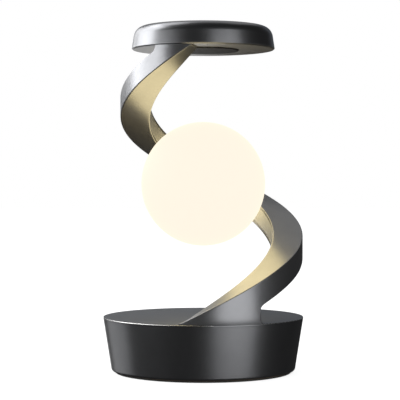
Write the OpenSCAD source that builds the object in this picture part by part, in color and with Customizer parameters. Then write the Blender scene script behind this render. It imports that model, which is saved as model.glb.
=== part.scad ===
// Levitating desk lamp: a drum base, a one-turn helical arm, a disc head and a
// lit ball that floats between them, held by the electromagnet in the head.
// Millimetres, +Z up, the front of the lamp looks along -Y.
// The origin is the centre of the footprint on the desk.

/* [Whole lamp] */
// Height from the desk to the top of the head
lamp_h = 232.4; // [226:0.1:240]

/* [Base] */
// Diameter of the base at its top rim
base_d_top = 135; // [132:1:138]
// Diameter of the base at its underside
base_d_bottom = 123.4; // [122:0.1:126]
// Height of the base, foot included
base_h = 37.2; // [35:0.1:40]
// Wall of the bowl
base_wall = 2.8; // [2.4:0.1:3.2]
// Floor of the bowl
floor_t = 3; // [2.5:0.1:3.5]
// Rounding of the bowl's bottom edge
bowl_round = 2.2; // [1.5:0.1:3]
// Thickness of the top plate
top_t = 3; // [2.6:0.1:3.6]
// Height of the top plate's visible edge
lid_edge = 1.4; // [1.2:0.1:2]
// Bright bevel along the rim of the top plate
rim_bevel = 0.6; // [0.4:0.1:0.9]
// Height of the lip that centres the top plate in the bowl
lid_lip_h = 1.5; // [1:0.1:2.5]
// Thickness of that lip
lid_lip_t = 2; // [1.5:0.1:2.5]
// Height of the bowl's underside over the desk
foot_h = 1; // [0.8:0.1:1.4]
// Width of the soft ring foot
foot_w = 9; // [7:0.1:9]
// Depth of the groove that holds the foot
foot_sink = 0.6; // [0.4:0.1:0.8]

/* [Inside the base] */
// Distance of the case posts from the edge of the underside
post_in = 7; // [7:0.1:9]
// Diameter of the case posts
post_d = 9; // [8.4:0.1:9.6]
// Diameter of the bosses under the top plate
boss_d = 8; // [7:0.1:9]
// Length of those bosses
boss_h = 9; // [8:0.1:10]
// Material between a case screw's head and its boss
seat_t = 4; // [3:0.1:5]
// Thickness of the steel weight
ballast_t = 6; // [5:0.1:7]
// Gap between the weight and the case posts
ballast_gap = 5.5; // [4:0.1:7]
// Hole in the middle of the weight
ballast_hole_d = 16; // [12:1:20]
// Height of the tubes that carry the control board
stand_h = 6; // [5:0.1:7]
// Diameter of those tubes
stand_d = 5.6; // [5:0.1:6]
// Distance of the tubes from the edge of the weight
stand_in = 5.6; // [5:0.1:7]
// Thickness of the circuit boards
board_t = 1.6; // [1.2:0.1:2]
// Gap between the control board and the bowl
board_gap = 0.8; // [0.6:0.1:1.2]
// Gap between the control board and the case posts
board_side_gap = 3.7; // [2:0.1:5]
// How far the control board reaches back from the middle
board_back = 40; // [36:1:42]
// Width of the board's tongue under the inlet
tongue_w = 16; // [14:1:20]
// Diameter of the wires' socket on the control board
socket_d = 5.2; // [4.6:0.1:6]
// Height of that socket
socket_h = 4; // [3:0.1:5]
// Margin of the board around that socket
socket_pad = 1.4; // [1:0.1:2]
// Side of the square control chip
chip_w = 10; // [7:0.1:12]
// Height of the control chip
chip_h = 1.4; // [1:0.1:1.8]
// Side of the square choke
choke_w = 12; // [10:0.1:13]
// Height of the choke
choke_h = 6; // [5:0.1:7]
// Diameter of the three capacitors
capacitor_d = 8; // [6.3:0.1:9]
// Height of the capacitors
capacitor_h = 8; // [6:0.1:9]
// Distance between two capacitors
capacitor_step = 12; // [10:0.1:13]
// Length of the voltage regulator
regulator_l = 8; // [6:0.1:9]
// Width of the voltage regulator
regulator_w = 5; // [4:0.1:6]
// Height of the voltage regulator
regulator_h = 2; // [1.5:0.1:2.5]
// Outer diameter of the transmitter coil
tx_d = 48; // [44:1:52]
// Inner diameter of the transmitter coil
tx_hole_d = 24; // [20:1:28]
// Margin of the ferrite disc around that coil
ferrite_over = 2; // [1:0.1:3]
// Thickness of the flat coils
coil_t = 2; // [1.5:0.1:2.5]
// Thickness of the ferrite discs
ferrite_t = 1.5; // [1.2:0.1:2]

/* [Arm] */
// Radial width of the arm
arm_w = 20; // [18:0.1:20.5]
// Upright height of the arm's outer face at the foot
arm_h_foot = 16.7; // [15.5:0.1:17.5]
// Upright height of the arm's outer face at the head
arm_h_tip = 12.9; // [12:0.1:14]
// How much higher the inner face stands at its top edge
arm_in_up = 0.8; // [0.6:0.1:1.2]
// How much lower the inner face hangs at its bottom edge
arm_in_down = 0.8; // [0.4:0.1:0.9]
// Wall of the arm's channel
arm_wall = 2.4; // [2:0.1:2.8]
// Bevel on the arm's four long edges
arm_bevel = 0.8; // [0.5:0.1:1]
// Thickness of the arm where its two ends run out
arm_end_t = 0.8; // [0.6:0.1:1.2]
// Thickness of the strip that closes the channel
cover_t = 1.8; // [1.4:0.1:2]
// Width of the edge beside that strip
strip_edge = 1.6; // [1.2:0.1:2]
// How far the foot stands back from the base rim
foot_setback = 0.3; // [0.3:0.1:0.8]
// Radius of the hollow at the back end of the foot, where it turns into the arm's underside
foot_flare = 5; // [4:0.1:5.5]
// Radius of that hollow at the base
foot_toe = 2.2; // [1:0.1:2.5]
// How far the tip stands back from the head rim
tip_setback = 2.3; // [1.5:0.1:3]
// Radius of the hollow at the tip, where it turns into the arm's upper side
tip_flare = 4.8; // [4:0.1:4.9]
// Radius of that hollow at the head
tip_toe = 0.8; // [0.5:0.1:0.9]
// Gap between the arm and the ball
ball_clear = 1; // [1:0.1:2]
// Diameter of the bundle of wires in the arm
wire_d = 3.2; // [2.6:0.1:3.6]
// Diameter of the holes for the wires
wire_hole_d = 6.4; // [5:0.1:7]
// Distance of the wires from the arm's outer face
wire_in = 12; // [11:0.1:13]
// Radius of the wires' two bends
wire_bend = 3; // [2:0.1:4]

/* [Head] */
// Diameter of the head at its lower rim
head_d = 96; // [94:1:98]
// Height of the head
head_h = 15.7; // [15.5:0.1:17]
// Rounding of the head's upper edge
head_round = 7.8; // [5:0.1:8.5]
// Wall of the cap
cap_wall = 2.4; // [2:0.1:2.6]
// Lean of the cap's side, inwards at the top
cap_lean = 1.1; // [0.8:0.1:2.2]
// Height of the floor's visible rim
floor_rim_h = 1.4; // [1.2:0.1:2]
// Bevel along the lower rim
floor_bevel = 0.7; // [0.5:0.1:1]
// Thickness of the head's floor
head_floor_t = 3; // [2.6:0.1:3.4]
// Diameter of the dark window under the electromagnet
window_d = 48; // [46:1:50]
// How far the window stands below the head's underside
window_proud = 0.8; // [0.5:0.1:1.2]
// How far the window is let into the floor
window_sink = 1.5; // [1:0.1:2]
// Ledge that the window rests against
window_ledge = 2; // [1.5:0.1:2.5]
// Bevel along the window's edge
window_bevel = 0.5; // [0.3:0.1:0.7]

/* [Inside the head] */
// Diameter of the bore for the electromagnet's pole
pole_d = 14; // [12:1:16]
// Thickness of the pole's back plate
yoke_t = 1.2; // [1:0.1:1.6]
// Wall of the spool
spool_t = 1.2; // [1:0.1:1.4]
// Gap between the spool and the floor's hole
spool_gap = 0.5; // [0.3:0.1:1]
// Height of the magnet in the pole
bias_h = 3.5; // [3:0.1:4]
// Length of the sensor
sensor_l = 4; // [3:0.1:4.5]
// Width of the sensor
sensor_w = 3; // [2:0.1:3.5]
// Height of the sensor
sensor_h = 1.4; // [1:0.1:1.5]
// Room around the sensor in its recess
sensor_gap = 1; // [0.5:0.1:1.5]
// Gap between the floor and the ring board
head_board_gap = 2; // [1.8:0.1:2.4]
// Margin of the ring board at the window and at the cap
head_board_in = 1.5; // [1:0.1:2]
// Distance of the head screws from the lower rim
head_screw_in = 10; // [9:0.1:11]
// Diameter of the head's screw bosses
head_boss_d = 6.8; // [6.2:0.1:7.4]

/* [Ball] */
// Diameter of the floating ball
ball_d = 83.4; // [78:0.1:83.5]
// Height of the ball over the base
ball_below = 47.6; // [45:0.1:50]
// Wall of the two half shells
ball_wall = 2; // [1.8:0.1:2.4]
// Depth of the lap between the two halves
lap_h = 3; // [2.5:0.1:3.5]
// Thickness of the lap's lip
lip_t = 1.8; // [1.5:0.1:2.2]
// Width of the ledge for the frame
ledge_w = 2.5; // [2:0.1:3]
// Height of that ledge
ledge_h = 2; // [1.5:0.1:2.5]

/* [Inside the ball] */
// Thickness of the frame
frame_t = 1.8; // [1.5:0.1:2.2]
// Diameter of the frame's stem and of the magnet's post
stem_d = 10; // [8:0.1:12]
// Diameter of the frame's openings
vent_d = 10; // [8:0.1:11]
// Rim of the frame outside its openings
vent_rim = 2.3; // [2:0.1:3]
// Outer diameter of the LED boards
led_ring_d = 48; // [44:1:50]
// Inner diameter of the LED boards
led_ring_hole_d = 24; // [20:1:28]
// Thickness of the LED boards
led_board_t = 1.2; // [1:0.1:1.6]
// Light sources on each LED board
led_n = 12; // [8:1:16]
// Length of a light source
led_l = 3.5; // [3:0.1:4]
// Width of a light source
led_w = 2.8; // [2:0.1:3]
// Height of a light source
led_h = 0.8; // [0.6:0.1:1.2]
// Diameter of the ball's magnet
magnet_d = 23.4; // [20:0.1:24]
// Height of the ball's magnet
magnet_h = 8; // [7:0.1:8.5]
// Distance of the magnet's cup from the top of the ball's hollow
magnet_top = 3.8; // [3.4:0.1:5]
// Wall of that cup
cup_wall = 1.5; // [1.2:0.1:1.8]
// Floor of that cup
cup_floor = 1.6; // [1.4:0.1:2]
// How far the cup stands over the magnet
cup_over = 0.3; // [0.2:0.1:0.6]
// Outer diameter of the receiver coil
rx_d = 40; // [36:1:42]
// Inner diameter of the receiver coil
rx_hole_d = 18; // [16:1:22]
// Height of the receiver coil over the bottom of the ball's hollow
rx_up = 7.8; // [7:0.1:9]

/* [Button and inlet] */
// Height of the button's axis over the desk
button_z = 19; // [17:0.5:21]
// Diameter of the power button
button_d = 9; // [8:0.1:10]
// Travel of the power button
button_travel = 1.5; // [1:0.1:1.6]
// How far the button stands out of the wall
button_proud = 1.2; // [1.1:0.1:1.6]
// Bevel on the button's edge
button_bevel = 0.5; // [0.3:0.1:0.8]
// Width of the flange that keeps the button in
flange_w = 1.3; // [1:0.1:1.6]
// Thickness of that flange
flange_t = 1.2; // [1:0.1:1.5]
// Wall of the collar that guides the button
collar_w = 2.5; // [2:0.1:3]
// How far that collar stands in from the bowl's wall
collar_h = 1.7; // [1.4:0.1:2.2]
// Room between the pressed button and the switch
switch_room = 1.5; // [1:0.1:2]
// Diameter of the plunger
plunger_d = 3.4; // [3:0.1:4]
// How far the plunger reaches into the switch
plunger_in = 1.7; // [1.5:0.1:2]
// Width of the push switch
switch_w = 6; // [5.6:0.1:6.4]
// Depth of the push switch
switch_t = 2.6; // [2.4:0.1:3]
// Width of the switch's upright board
switch_board_w = 12; // [11:0.1:13]
// How far that board stands over the button's axis
switch_board_up = 4; // [3.5:0.1:5]
// Width of the two rails that hold that board
rail_w = 4; // [3.5:0.1:5]
// Depth of a rail on each side of that board
rail_side = 1.8; // [1.5:0.1:2]
// Height of those rails
rail_h = 8.5; // [7:0.1:9]
// Depth of the rails' grip on the board's edges
rail_grip = 1.5; // [1:0.1:2]
// Width of the inlet's metal shell
inlet_w = 8.94; // [8.9:0.01:9]
// Height of the inlet's metal shell
inlet_h = 3.26; // [3.2:0.01:3.3]
// Length of the inlet's metal shell
inlet_l = 8.5; // [8:0.1:9]
// Sheet of the inlet's metal shell
inlet_wall = 0.3; // [0.25:0.01:0.35]
// Back wall of the inlet
inlet_back = 1.2; // [1:0.1:1.5]
// How far the inlet stands back from the base's side
inlet_recess = 1.4; // [1:0.1:2]
// Gap between the inlet and the opening in the wall
inlet_gap = 0.6; // [0.4:0.1:0.8]
// Width of the contact tongue
contact_w = 6.7; // [6.5:0.1:6.8]
// Thickness of the contact tongue
contact_t = 0.7; // [0.6:0.1:0.8]
// How far the contact tongue stands back from the inlet's mouth
contact_in = 1; // [0.8:0.1:1.4]

/* [Screws] */
// Diameter of the case, board, head and tip screws
screw_d = 3; // [2.8:0.1:3.2]
// Diameter of the case and board screws' heads
screw_head_d = 5.5; // [5:0.1:5.8]
// Height of those heads
screw_head_h = 2; // [1.6:0.1:2.4]
// How deep the case screws reach into their bosses
case_bite = 7; // [6:0.1:8]
// How deep the board screws reach into the weight
board_bite = 3.5; // [2.5:0.1:4.5]
// Diameter of the two foot screws
foot_screw_d = 4; // [3.6:0.1:4.4]
// Diameter of the foot screws' heads
foot_screw_head_d = 6.8; // [6.4:0.1:7.4]
// Height of the foot screws' heads
foot_screw_head_h = 2.5; // [2:0.1:3]
// How deep the foot screws reach into the arm
foot_bite = 5.9; // [5:0.1:6.5]
// Diameter of the tip and head screws' heads
small_head_d = 4.8; // [4.6:0.1:5]
// Height of those heads
small_head_h = 1.6; // [1.4:0.1:1.7]
// How deep the tip screws reach into the arm
tip_bite = 4.4; // [3.6:0.1:4.6]
// Distance between the two tip screws
tip_screw_gap = 9; // [8:0.1:10]
// How deep the head screws reach into the cap
head_bite = 3.9; // [3:0.1:4.5]

/* [Clearances] */
// Play between a screw and its hole
screw_gap = 0.1; // [0.05:0.05:0.2]
// Play around a screw's head and past a screw's end
head_gap = 0.4; // [0.2:0.05:0.5]
// Play between parts that nest in each other
nest_gap = 0.25; // [0.15:0.05:0.3]
// Play around the sliding button and its plunger
slide_gap = 0.3; // [0.25:0.05:0.4]
// Play between the closing strip and its rebate
strip_gap = 0.15; // [0.1:0.05:0.2]
// Play between a winding and its spool
coil_gap = 0.05; // [0.02:0.01:0.1]

/* [Hidden] */
$fn = 96;

// Overshoot of cuts, and overlap of shapes that are one piece
cut = 1;
join = 0.5;

// Base: radii and levels
r_top = base_d_top / 2;
r_bot = base_d_bottom / 2;
z_floor = foot_h + floor_t;
z_plate = base_h - top_t;
z_seam = base_h - lid_edge;
// Outer radius of the base side at a height
function side_r(z) = r_bot + (r_top - r_bot) * (z - foot_h) / (base_h - foot_h);
side_lean = atan((r_top - r_bot) / (base_h - foot_h));
post_r = r_bot - post_in;
post_top = z_plate - boss_h;
seat_z = post_top - seat_t;
r_ballast = post_r - post_d / 2 - ballast_gap;
z_ballast = z_floor + ballast_t;
z_board = z_ballast + stand_h;
z_parts = z_board + board_t;
z_inlet = z_parts + inlet_h / 2;
y_inlet = side_r(z_inlet) - inlet_recess;
stand_t = 51;
stand_r = r_ballast - stand_in;
// Middles of the parts on the control board
choke_at = [14, 10];
regulator_at = [10, -19.5];
capacitor_x = -14;
capacitor_y = -2;

// Ball: radii and levels, seen from its middle
r_ball = ball_d / 2;
r_ball_in = r_ball - ball_wall;
z_ball = base_h + ball_below + r_ball;
z_frame = -lap_h - frame_t;
r_lip = sqrt(r_ball_in * r_ball_in - lap_h * lap_h) - nest_gap;
r_frame = sqrt(r_ball_in * r_ball_in - z_frame * z_frame) - nest_gap;
cup_h = cup_floor + magnet_h + cup_over;
z_cup = r_ball_in - magnet_top - cup_h;
z_rx = -r_ball_in + rx_up;
z_rx_ferrite = z_rx + coil_t;
z_stem = z_rx_ferrite + ferrite_t;

// Head: radii and levels
r_head = head_d / 2;
r_window = window_d / 2;
r_pole = pole_d / 2;
head_z = lamp_h - head_h;
z_rim = head_z + floor_rim_h;
z_head_floor = head_z + head_floor_t;
z_head_board = z_head_floor + head_board_gap;
z_cap_boss = z_head_board + board_t;
z_cap_in = lamp_h - cap_wall;
z_spool = head_z + window_sink;
z_yoke = z_cap_in - yoke_t;
r_spool = r_window - window_ledge - spool_gap;
// Inner radius of the cap's leaning side at a height
function cap_in_r(z) = r_head - cap_wall - cap_lean * (z - z_rim) / (lamp_h - head_round - z_rim);
head_screw_r = r_head - head_screw_in;
head_screw_n = 3;
head_screw_t = 30;

// Arm: angles are counted from +X, anticlockwise seen from above
t_start = -104;
t_foot = -56;
t_bend = -40;
t_pass = 100;
t_tip = 231;
t_end = 261;
ro_foot = r_top - foot_setback;
ro_pass = r_ball + ball_clear + arm_w;
ro_tip = r_head - tip_setback;

// Height of the middle of the section: a steady climb that is a little steeper at both ends
climb_mid = 0.59;
climb_ease = 0.12;
climb_cut = climb_ease * (pow(1 - climb_mid, 3) + pow(climb_mid, 3));
function turn(t) = (t - t_start) / (t_end - t_start);
function climb(u) = (1 - climb_cut) * u + climb_ease * (pow(u - climb_mid, 3) + pow(climb_mid, 3));
z_arm_0 = base_h - arm_h_foot / 2;
z_arm_1 = head_z + arm_h_tip / 2;
function arm_z(t) = z_arm_0 + (z_arm_1 - z_arm_0) * climb(turn(t));
// Upright height of the outer face
function arm_ho(t) = arm_h_foot + (arm_h_tip - arm_h_foot) * turn(t);
// Outer radius: a parabola through the foot, the place beside the ball and the tip
function bend(t) = max(t - t_bend, 0) / (t_end - t_bend);
b_pass = bend(t_pass);
function arm_ro(t) =
    let (b = bend(t))
    ro_foot * (b - b_pass) * (b - 1) / b_pass
    + ro_pass * b * (1 - b) / (b_pass * (1 - b_pass))
    + ro_tip * b * (b - b_pass) / (1 - b_pass);

// Edges of the section, cut off level with the base top and with the head's underside
function up_lim(z) = min(max(z, base_h + arm_end_t), head_z);
function down_lim(z) = min(max(z, base_h), head_z - arm_end_t);
function z_ot(t) = up_lim(arm_z(t) + arm_ho(t) / 2);
function z_it(t) = up_lim(arm_z(t) + arm_ho(t) / 2 + arm_in_up);
function z_ob(t) = down_lim(arm_z(t) - arm_ho(t) / 2);
function z_ib(t) = down_lim(arm_z(t) - arm_ho(t) / 2 - arm_in_down);
function cyl(r, t, z) = [r * cos(t), r * sin(t), z];
// Degrees of turn for a length along the middle of the section
function degrees_of(length, t) = length * 180 / (PI * (arm_ro(t) - arm_w / 2));

// A place on the arm is an angle and a height; mix goes a share of the way from one place to another,
// and toward goes a length
function mix(p, q, share) = p + (q - p) * share;
function toward(p, q, length) =
    mix(p, q, length / norm([(q[0] - p[0]) * PI / 180 * arm_ro(p[0]), q[1] - p[1]]));
// Point of the arm at such a place, so deep under the outer face
function deep(p, depth) = cyl(arm_ro(p[0]) - depth, p[0], p[1]);

// Each ring of the arm: the angles of its top, its bottom and its hollow, the heights of the outer top,
// inner top, outer bottom and inner bottom edge, then the place where its sides bend, if they do
end_n = 11;
round_n = 5;
arc_n = 4;
mid_n = 70;
side_n = round_n + 2 + arc_n;
pinch = 10;
bend_rise = 1;
// The lower round of each hollow starts at this angle, so that it leaves no feather edge
toe_from = 30;
function toe_angle(j) = toe_from + (90 - toe_from) * j / round_n;

// Foot: flat on the base, then a hollow that turns up into the underside of the arm
foot_arc = 64;
foot_deg = degrees_of(foot_flare, t_foot);
foot_toe_deg = degrees_of(foot_toe, t_foot);
t_pinch = t_foot - pinch;
t_foot_bend = (t_foot + t_pinch) / 2;
t_foot_toe = t_foot + foot_toe_deg * (1 - sin(toe_from));
t_lift = t_foot + foot_deg * (1 - cos(foot_arc));
z_hollow = z_ob(t_lift) - foot_flare * sin(foot_arc);
function foot_top(j) = t_pinch + (t_lift - t_pinch) * j / side_n;
function foot_ring_at(t, b, zo, zi) =
    [t, b, t, z_ot(t), z_it(t), zo, zi, [(t + (zo > z_hollow ? b : t_foot)) / 2, zo + bend_rise], undef];
foot_rings = concat(
    [for (i = [0:end_n]) let (s = i / end_n, t = t_start + (t_pinch - t_start) * s)
        [t, t_start + (t_foot_toe - t_start) * s, t, z_ot(t), z_it(t), base_h, base_h,
         [t_start + (t_foot_bend - t_start) * s, base_h + arm_end_t / 2 * (1 - s) + bend_rise * s], undef]],
    [for (j = [0:round_n]) let (a = toe_angle(j), z = base_h + foot_toe * (1 - cos(a)))
        foot_ring_at(foot_top(j + 1), t_foot + foot_toe_deg * (1 - sin(a)), z, z)],
    [foot_ring_at(foot_top(round_n + 2), t_foot, z_hollow, z_hollow)],
    [for (j = [1:arc_n]) let (s = j / arc_n, a = foot_arc * s, z = z_hollow + foot_flare * sin(a))
        foot_ring_at(foot_top(round_n + 2 + j), t_foot + foot_deg * (1 - cos(a)), z, z - arm_in_down * s)]);

// Tip: the same from above, a hollow that runs out under the head
tip_arc = 50;
tip_deg = degrees_of(tip_flare, t_tip);
tip_toe_deg = degrees_of(tip_toe, t_tip);
t_grip = t_tip + pinch;
t_tip_bend = (t_tip + t_grip) / 2;
t_tip_toe = t_tip - tip_toe_deg * (1 - sin(toe_from));
t_hang = t_tip - tip_deg * (1 - cos(tip_arc));
z_hook = z_ot(t_hang) + tip_flare * sin(tip_arc);
function tip_low(j) = t_grip + (t_hang - t_grip) * j / side_n;
function tip_ring_at(t, b, zo, zi) =
    [t, b, b, zo, zi, z_ob(b), z_ib(b), undef, [(b + (zo < z_hook ? t : t_tip)) / 2, zo - bend_rise]];
tip_rings = concat(
    [for (j = [arc_n:-1:1]) let (s = j / arc_n, a = tip_arc * s, z = z_hook - tip_flare * sin(a))
        tip_ring_at(t_tip - tip_deg * (1 - cos(a)), tip_low(round_n + 2 + j), z, z + arm_in_up * s)],
    [tip_ring_at(t_tip, tip_low(round_n + 2), z_hook, z_hook)],
    [for (j = [round_n:-1:0]) let (a = toe_angle(j), z = head_z - tip_toe * (1 - cos(a)))
        tip_ring_at(t_tip - tip_toe_deg * (1 - sin(a)), tip_low(j + 1), z, z)],
    [for (i = [end_n:-1:0]) let (s = i / end_n, b = t_end - (t_end - t_grip) * s)
        [t_end - (t_end - t_tip_toe) * s, b, b, head_z, head_z, z_ob(b), z_ib(b), undef,
         [t_end - (t_end - t_tip_bend) * s, head_z - arm_end_t / 2 * (1 - s) - bend_rise * s]]]);

mid_rings = [for (m = [1:mid_n - 1]) let (t = t_lift + (t_hang - t_lift) * m / mid_n)
    [t, t, t, z_ot(t), z_it(t), z_ob(t), z_ib(t), undef, undef]];
arm_rings = concat(foot_rings, mid_rings, tip_rings);
ring_n = len(arm_rings);
// First and last ring of the hollow
k_in = 10;
k_out = ring_n - 9;

// Twenty points of one ring: the outer skin, the rebate for the strip and the hollow for the wires.
// Where the hollow is closed, the two edges of the rebate lie in the inner face.
ring_size = 20;
edge_share = 0.45;
outer_share = 1 / 3;
inner_share = 0.6;
function ring_pts(k) =
    let (q = arm_rings[k], v = q[2], low_bend = q[7], top_bend = q[8], c = min(arm_bevel, (q[3] - q[5]) / 12))
    let (top_o = [q[0], q[3]], top_i = [q[0], q[4]], low_o = [q[1], q[5]], low_i = [q[1], q[6]])
    let (lo = arm_z(v) - arm_ho(v) / 2, hi = min(arm_z(v) + arm_ho(v) / 2, head_z))
    let (open = k >= k_in && k <= k_out, d_strip = arm_w - cover_t)
    let (top_from = top_bend == undef ? top_i : top_bend, low_from = low_bend == undef ? low_i : low_bend)
    let (edge_top = open ? [v, hi - strip_edge] : mix(top_from, low_from, edge_share))
    let (edge_low = open ? [v, lo + strip_edge] : mix(low_from, top_from, edge_share))
    let (low_o2 = low_bend == undef ? mix(low_o, top_o, outer_share) : low_bend)
    let (top_o2 = top_bend == undef ? mix(top_o, low_o2, outer_share) : top_bend)
    let (low_i2 = low_bend == undef ? mix(low_i, edge_low, inner_share) : low_bend)
    let (top_i2 = top_bend == undef ? mix(top_i, edge_top, inner_share) : top_bend)
    [deep(low_o, c), deep(toward(low_o, low_o2, c), 0), deep(low_o2, 0),
     deep(top_o2, 0), deep(toward(top_o, top_o2, c), 0), deep(top_o, c),
     deep(top_i, arm_w - c), deep(toward(top_i, top_i2, c), arm_w), deep(top_i2, arm_w),
     deep(edge_top, arm_w), deep([v, hi - strip_edge], d_strip), deep([v, hi - arm_wall], d_strip),
     deep([v, hi - arm_wall], arm_wall), deep([v, lo + arm_wall], arm_wall),
     deep([v, lo + arm_wall], d_strip), deep([v, lo + strip_edge], d_strip), deep(edge_low, arm_w),
     deep(low_i2, arm_w), deep(toward(low_i, low_i2, c), arm_w), deep(low_i, arm_w - c)];
// The two solid ends use the outer skin only
solid_loop = [for (i = [0:ring_size - 1]) if (i < 10 || i > 15) i];
full_loop = [for (i = [0:ring_size - 1]) i];
hollow_loop = [for (i = [9:16]) i];

// Two triangles for each side of the skin between ring k and ring k + 1
function skin(k, loop, n) = [for (i = [0:len(loop) - 1])
    let (a = loop[i], b = loop[(i + 1) % len(loop)])
    each [[n * k + a, n * k + n + a, n * k + b], [n * k + b, n * k + n + a, n * k + n + b]]];
function turned(l) = [for (i = [len(l) - 1:-1:0]) l[i]];
function at_ring(k, loop, n) = [for (i = loop) n * k + i];

// Four points of one ring of the strip, a little short of the hollow at both ends
strip_end = 0.3;
strip_back = 0.03;
strip_size = 4;
function strip_pts(k) =
    let (v = arm_rings[k][2] + (k == k_in ? strip_end : 0) - (k == k_out ? strip_end : 0))
    let (ri = arm_ro(v) - arm_w, rs = ri + cover_t - strip_back, half = arm_ho(v) / 2)
    let (edge = strip_edge + strip_gap, lo = arm_z(v) - half + edge, hi = min(arm_z(v) + half, head_z) - edge)
    [cyl(rs, v, lo), cyl(rs, v, hi), cyl(ri, v, hi), cyl(ri, v, lo)];

// Wires: up through the foot, along the hollow, up into the head
wire_t = -61;
wire_r = ro_foot - wire_in;
t_out = 239;
r_out = arm_ro(t_out) - wire_in;
z_wire_0 = z_parts + socket_h;
z_wire_1 = arm_z(wire_t) - wire_bend;
z_wire_2 = arm_z(t_out) + wire_bend;
wire_bend_deg = 2;
wire_run_n = 73;
wire_from = wire_t + 2 * wire_bend_deg;
wire_to = t_out - 2 * wire_bend_deg;
wire_path = concat(
    [for (s = [0:5]) cyl(wire_r, wire_t, z_wire_0 + (z_wire_1 - z_wire_0) * s / 5)],
    [for (a = [30, 60]) cyl(wire_r, wire_t + wire_bend_deg * (1 - cos(a)), z_wire_1 + wire_bend * sin(a))],
    [for (m = [0:wire_run_n]) let (t = wire_from + (wire_to - wire_from) * m / wire_run_n)
        cyl(arm_ro(t) - wire_in, t, arm_z(t))],
    [for (a = [30, 60]) cyl(r_out, t_out - wire_bend_deg * (1 - sin(a)), z_wire_2 - wire_bend * cos(a))],
    [for (s = [0:2]) cyl(r_out, t_out, z_wire_2 + (z_head_board - z_wire_2) * s / 2)]);
wire_n = len(wire_path);
wire_sides = 8;
wire_loop = [for (i = [0:wire_sides - 1]) i];
function unit(v) = v / norm(v);
// One ring of the wires, square to their path
function wire_ring(k) =
    let (p = wire_path[k], d = unit(wire_path[min(k + 1, wire_n - 1)] - wire_path[max(k - 1, 0)]))
    let (out = [p[0], p[1], 0], e = unit(out - (out * d) * d), f = cross(d, e))
    [for (i = wire_loop) let (a = 360 * i / wire_sides) p + wire_d / 2 * (cos(a) * e + sin(a) * f)];

// Screws of the arm
foot_screw_t = [-90, -75];
foot_screw_r = ro_foot - arm_w / 2;
tip_screw_t = 250;
tip_screw_r = r_head - cap_lean - cap_wall - small_head_d / 2 - nest_gap;
tip_screw_rs = [tip_screw_r, tip_screw_r - tip_screw_gap];
screw_fn = 24;

// Button: its axis points outwards at this angle on the back of the base
button_t = 115;
r_button_wall = side_r(button_z);
r_collar = r_button_wall - base_wall - collar_h;
r_flange = r_collar - flange_t;
r_switch = r_flange - button_travel - switch_room;
r_switch_board = r_switch - switch_t - board_t;

function arc(cx, cy, r, a0, a1, n) =
    [for (i = [0:n]) let (a = a0 + (a1 - a0) * i / n) [cx + r * cos(a), cy + r * sin(a)]];

module around(r, n, a0) {
    for (i = [0:n - 1]) rotate([0, 0, a0 + 360 * i / n]) translate([r, 0, 0]) children();
}
module at_posts() {
    around(post_r, 4, 45) children();
}
module at_stands() {
    for (a = [stand_t, 180 - stand_t, 180 + stand_t, -stand_t])
        rotate([0, 0, a]) translate([stand_r, 0, 0]) children();
}
module at_head_screws() {
    around(head_screw_r, head_screw_n, head_screw_t) children();
}
module at_foot_screws() {
    for (t = foot_screw_t) rotate([0, 0, t]) translate([foot_screw_r, 0, 0]) children();
}
module at_tip_screws() {
    for (r = tip_screw_rs) rotate([0, 0, tip_screw_t]) translate([r, 0, 0]) children();
}
module at_wire_in() {
    rotate([0, 0, wire_t]) translate([wire_r, 0, 0]) children();
}
module at_wire_out() {
    rotate([0, 0, t_out]) translate([r_out, 0, 0]) children();
}
module ring(r_in, r_out, z0, h) {
    translate([0, 0, z0]) difference() {
        cylinder(r = r_out, h = h);
        translate([0, 0, -cut]) cylinder(r = r_in, h = h + 2 * cut);
    }
}
module stadium(w, h) {
    square([w - h, h], center = true);
    for (s = [-1, 1]) translate([s * (w - h) / 2, 0]) circle(d = h);
}
// Points outwards along the button's axis
module on_button() {
    rotate([0, 0, button_t]) translate([0, 0, button_z]) rotate([0, 90, 0]) children();
}
// A screw with its head's inner face at z, pointing up, or down if flip is 180
module screw(z, flip, d, head_d, head_h, length) {
    translate([0, 0, z]) rotate([flip, 0, 0]) {
        translate([0, 0, -head_h]) cylinder(d = head_d, h = head_h);
        translate([0, 0, -join]) cylinder(d = d, h = length + join);
    }
}
// A hole for a screw from z upwards
module screw_hole(z, h, d = screw_d) {
    translate([0, 0, z]) cylinder(d = d + 2 * screw_gap, h = h);
}

// Soft ring the lamp stands on; it also hides the case screws
module foot_ring() {
    color("#1c1c1c") ring(post_r - foot_w / 2, post_r + foot_w / 2, 0, foot_h + foot_sink);
}

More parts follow.
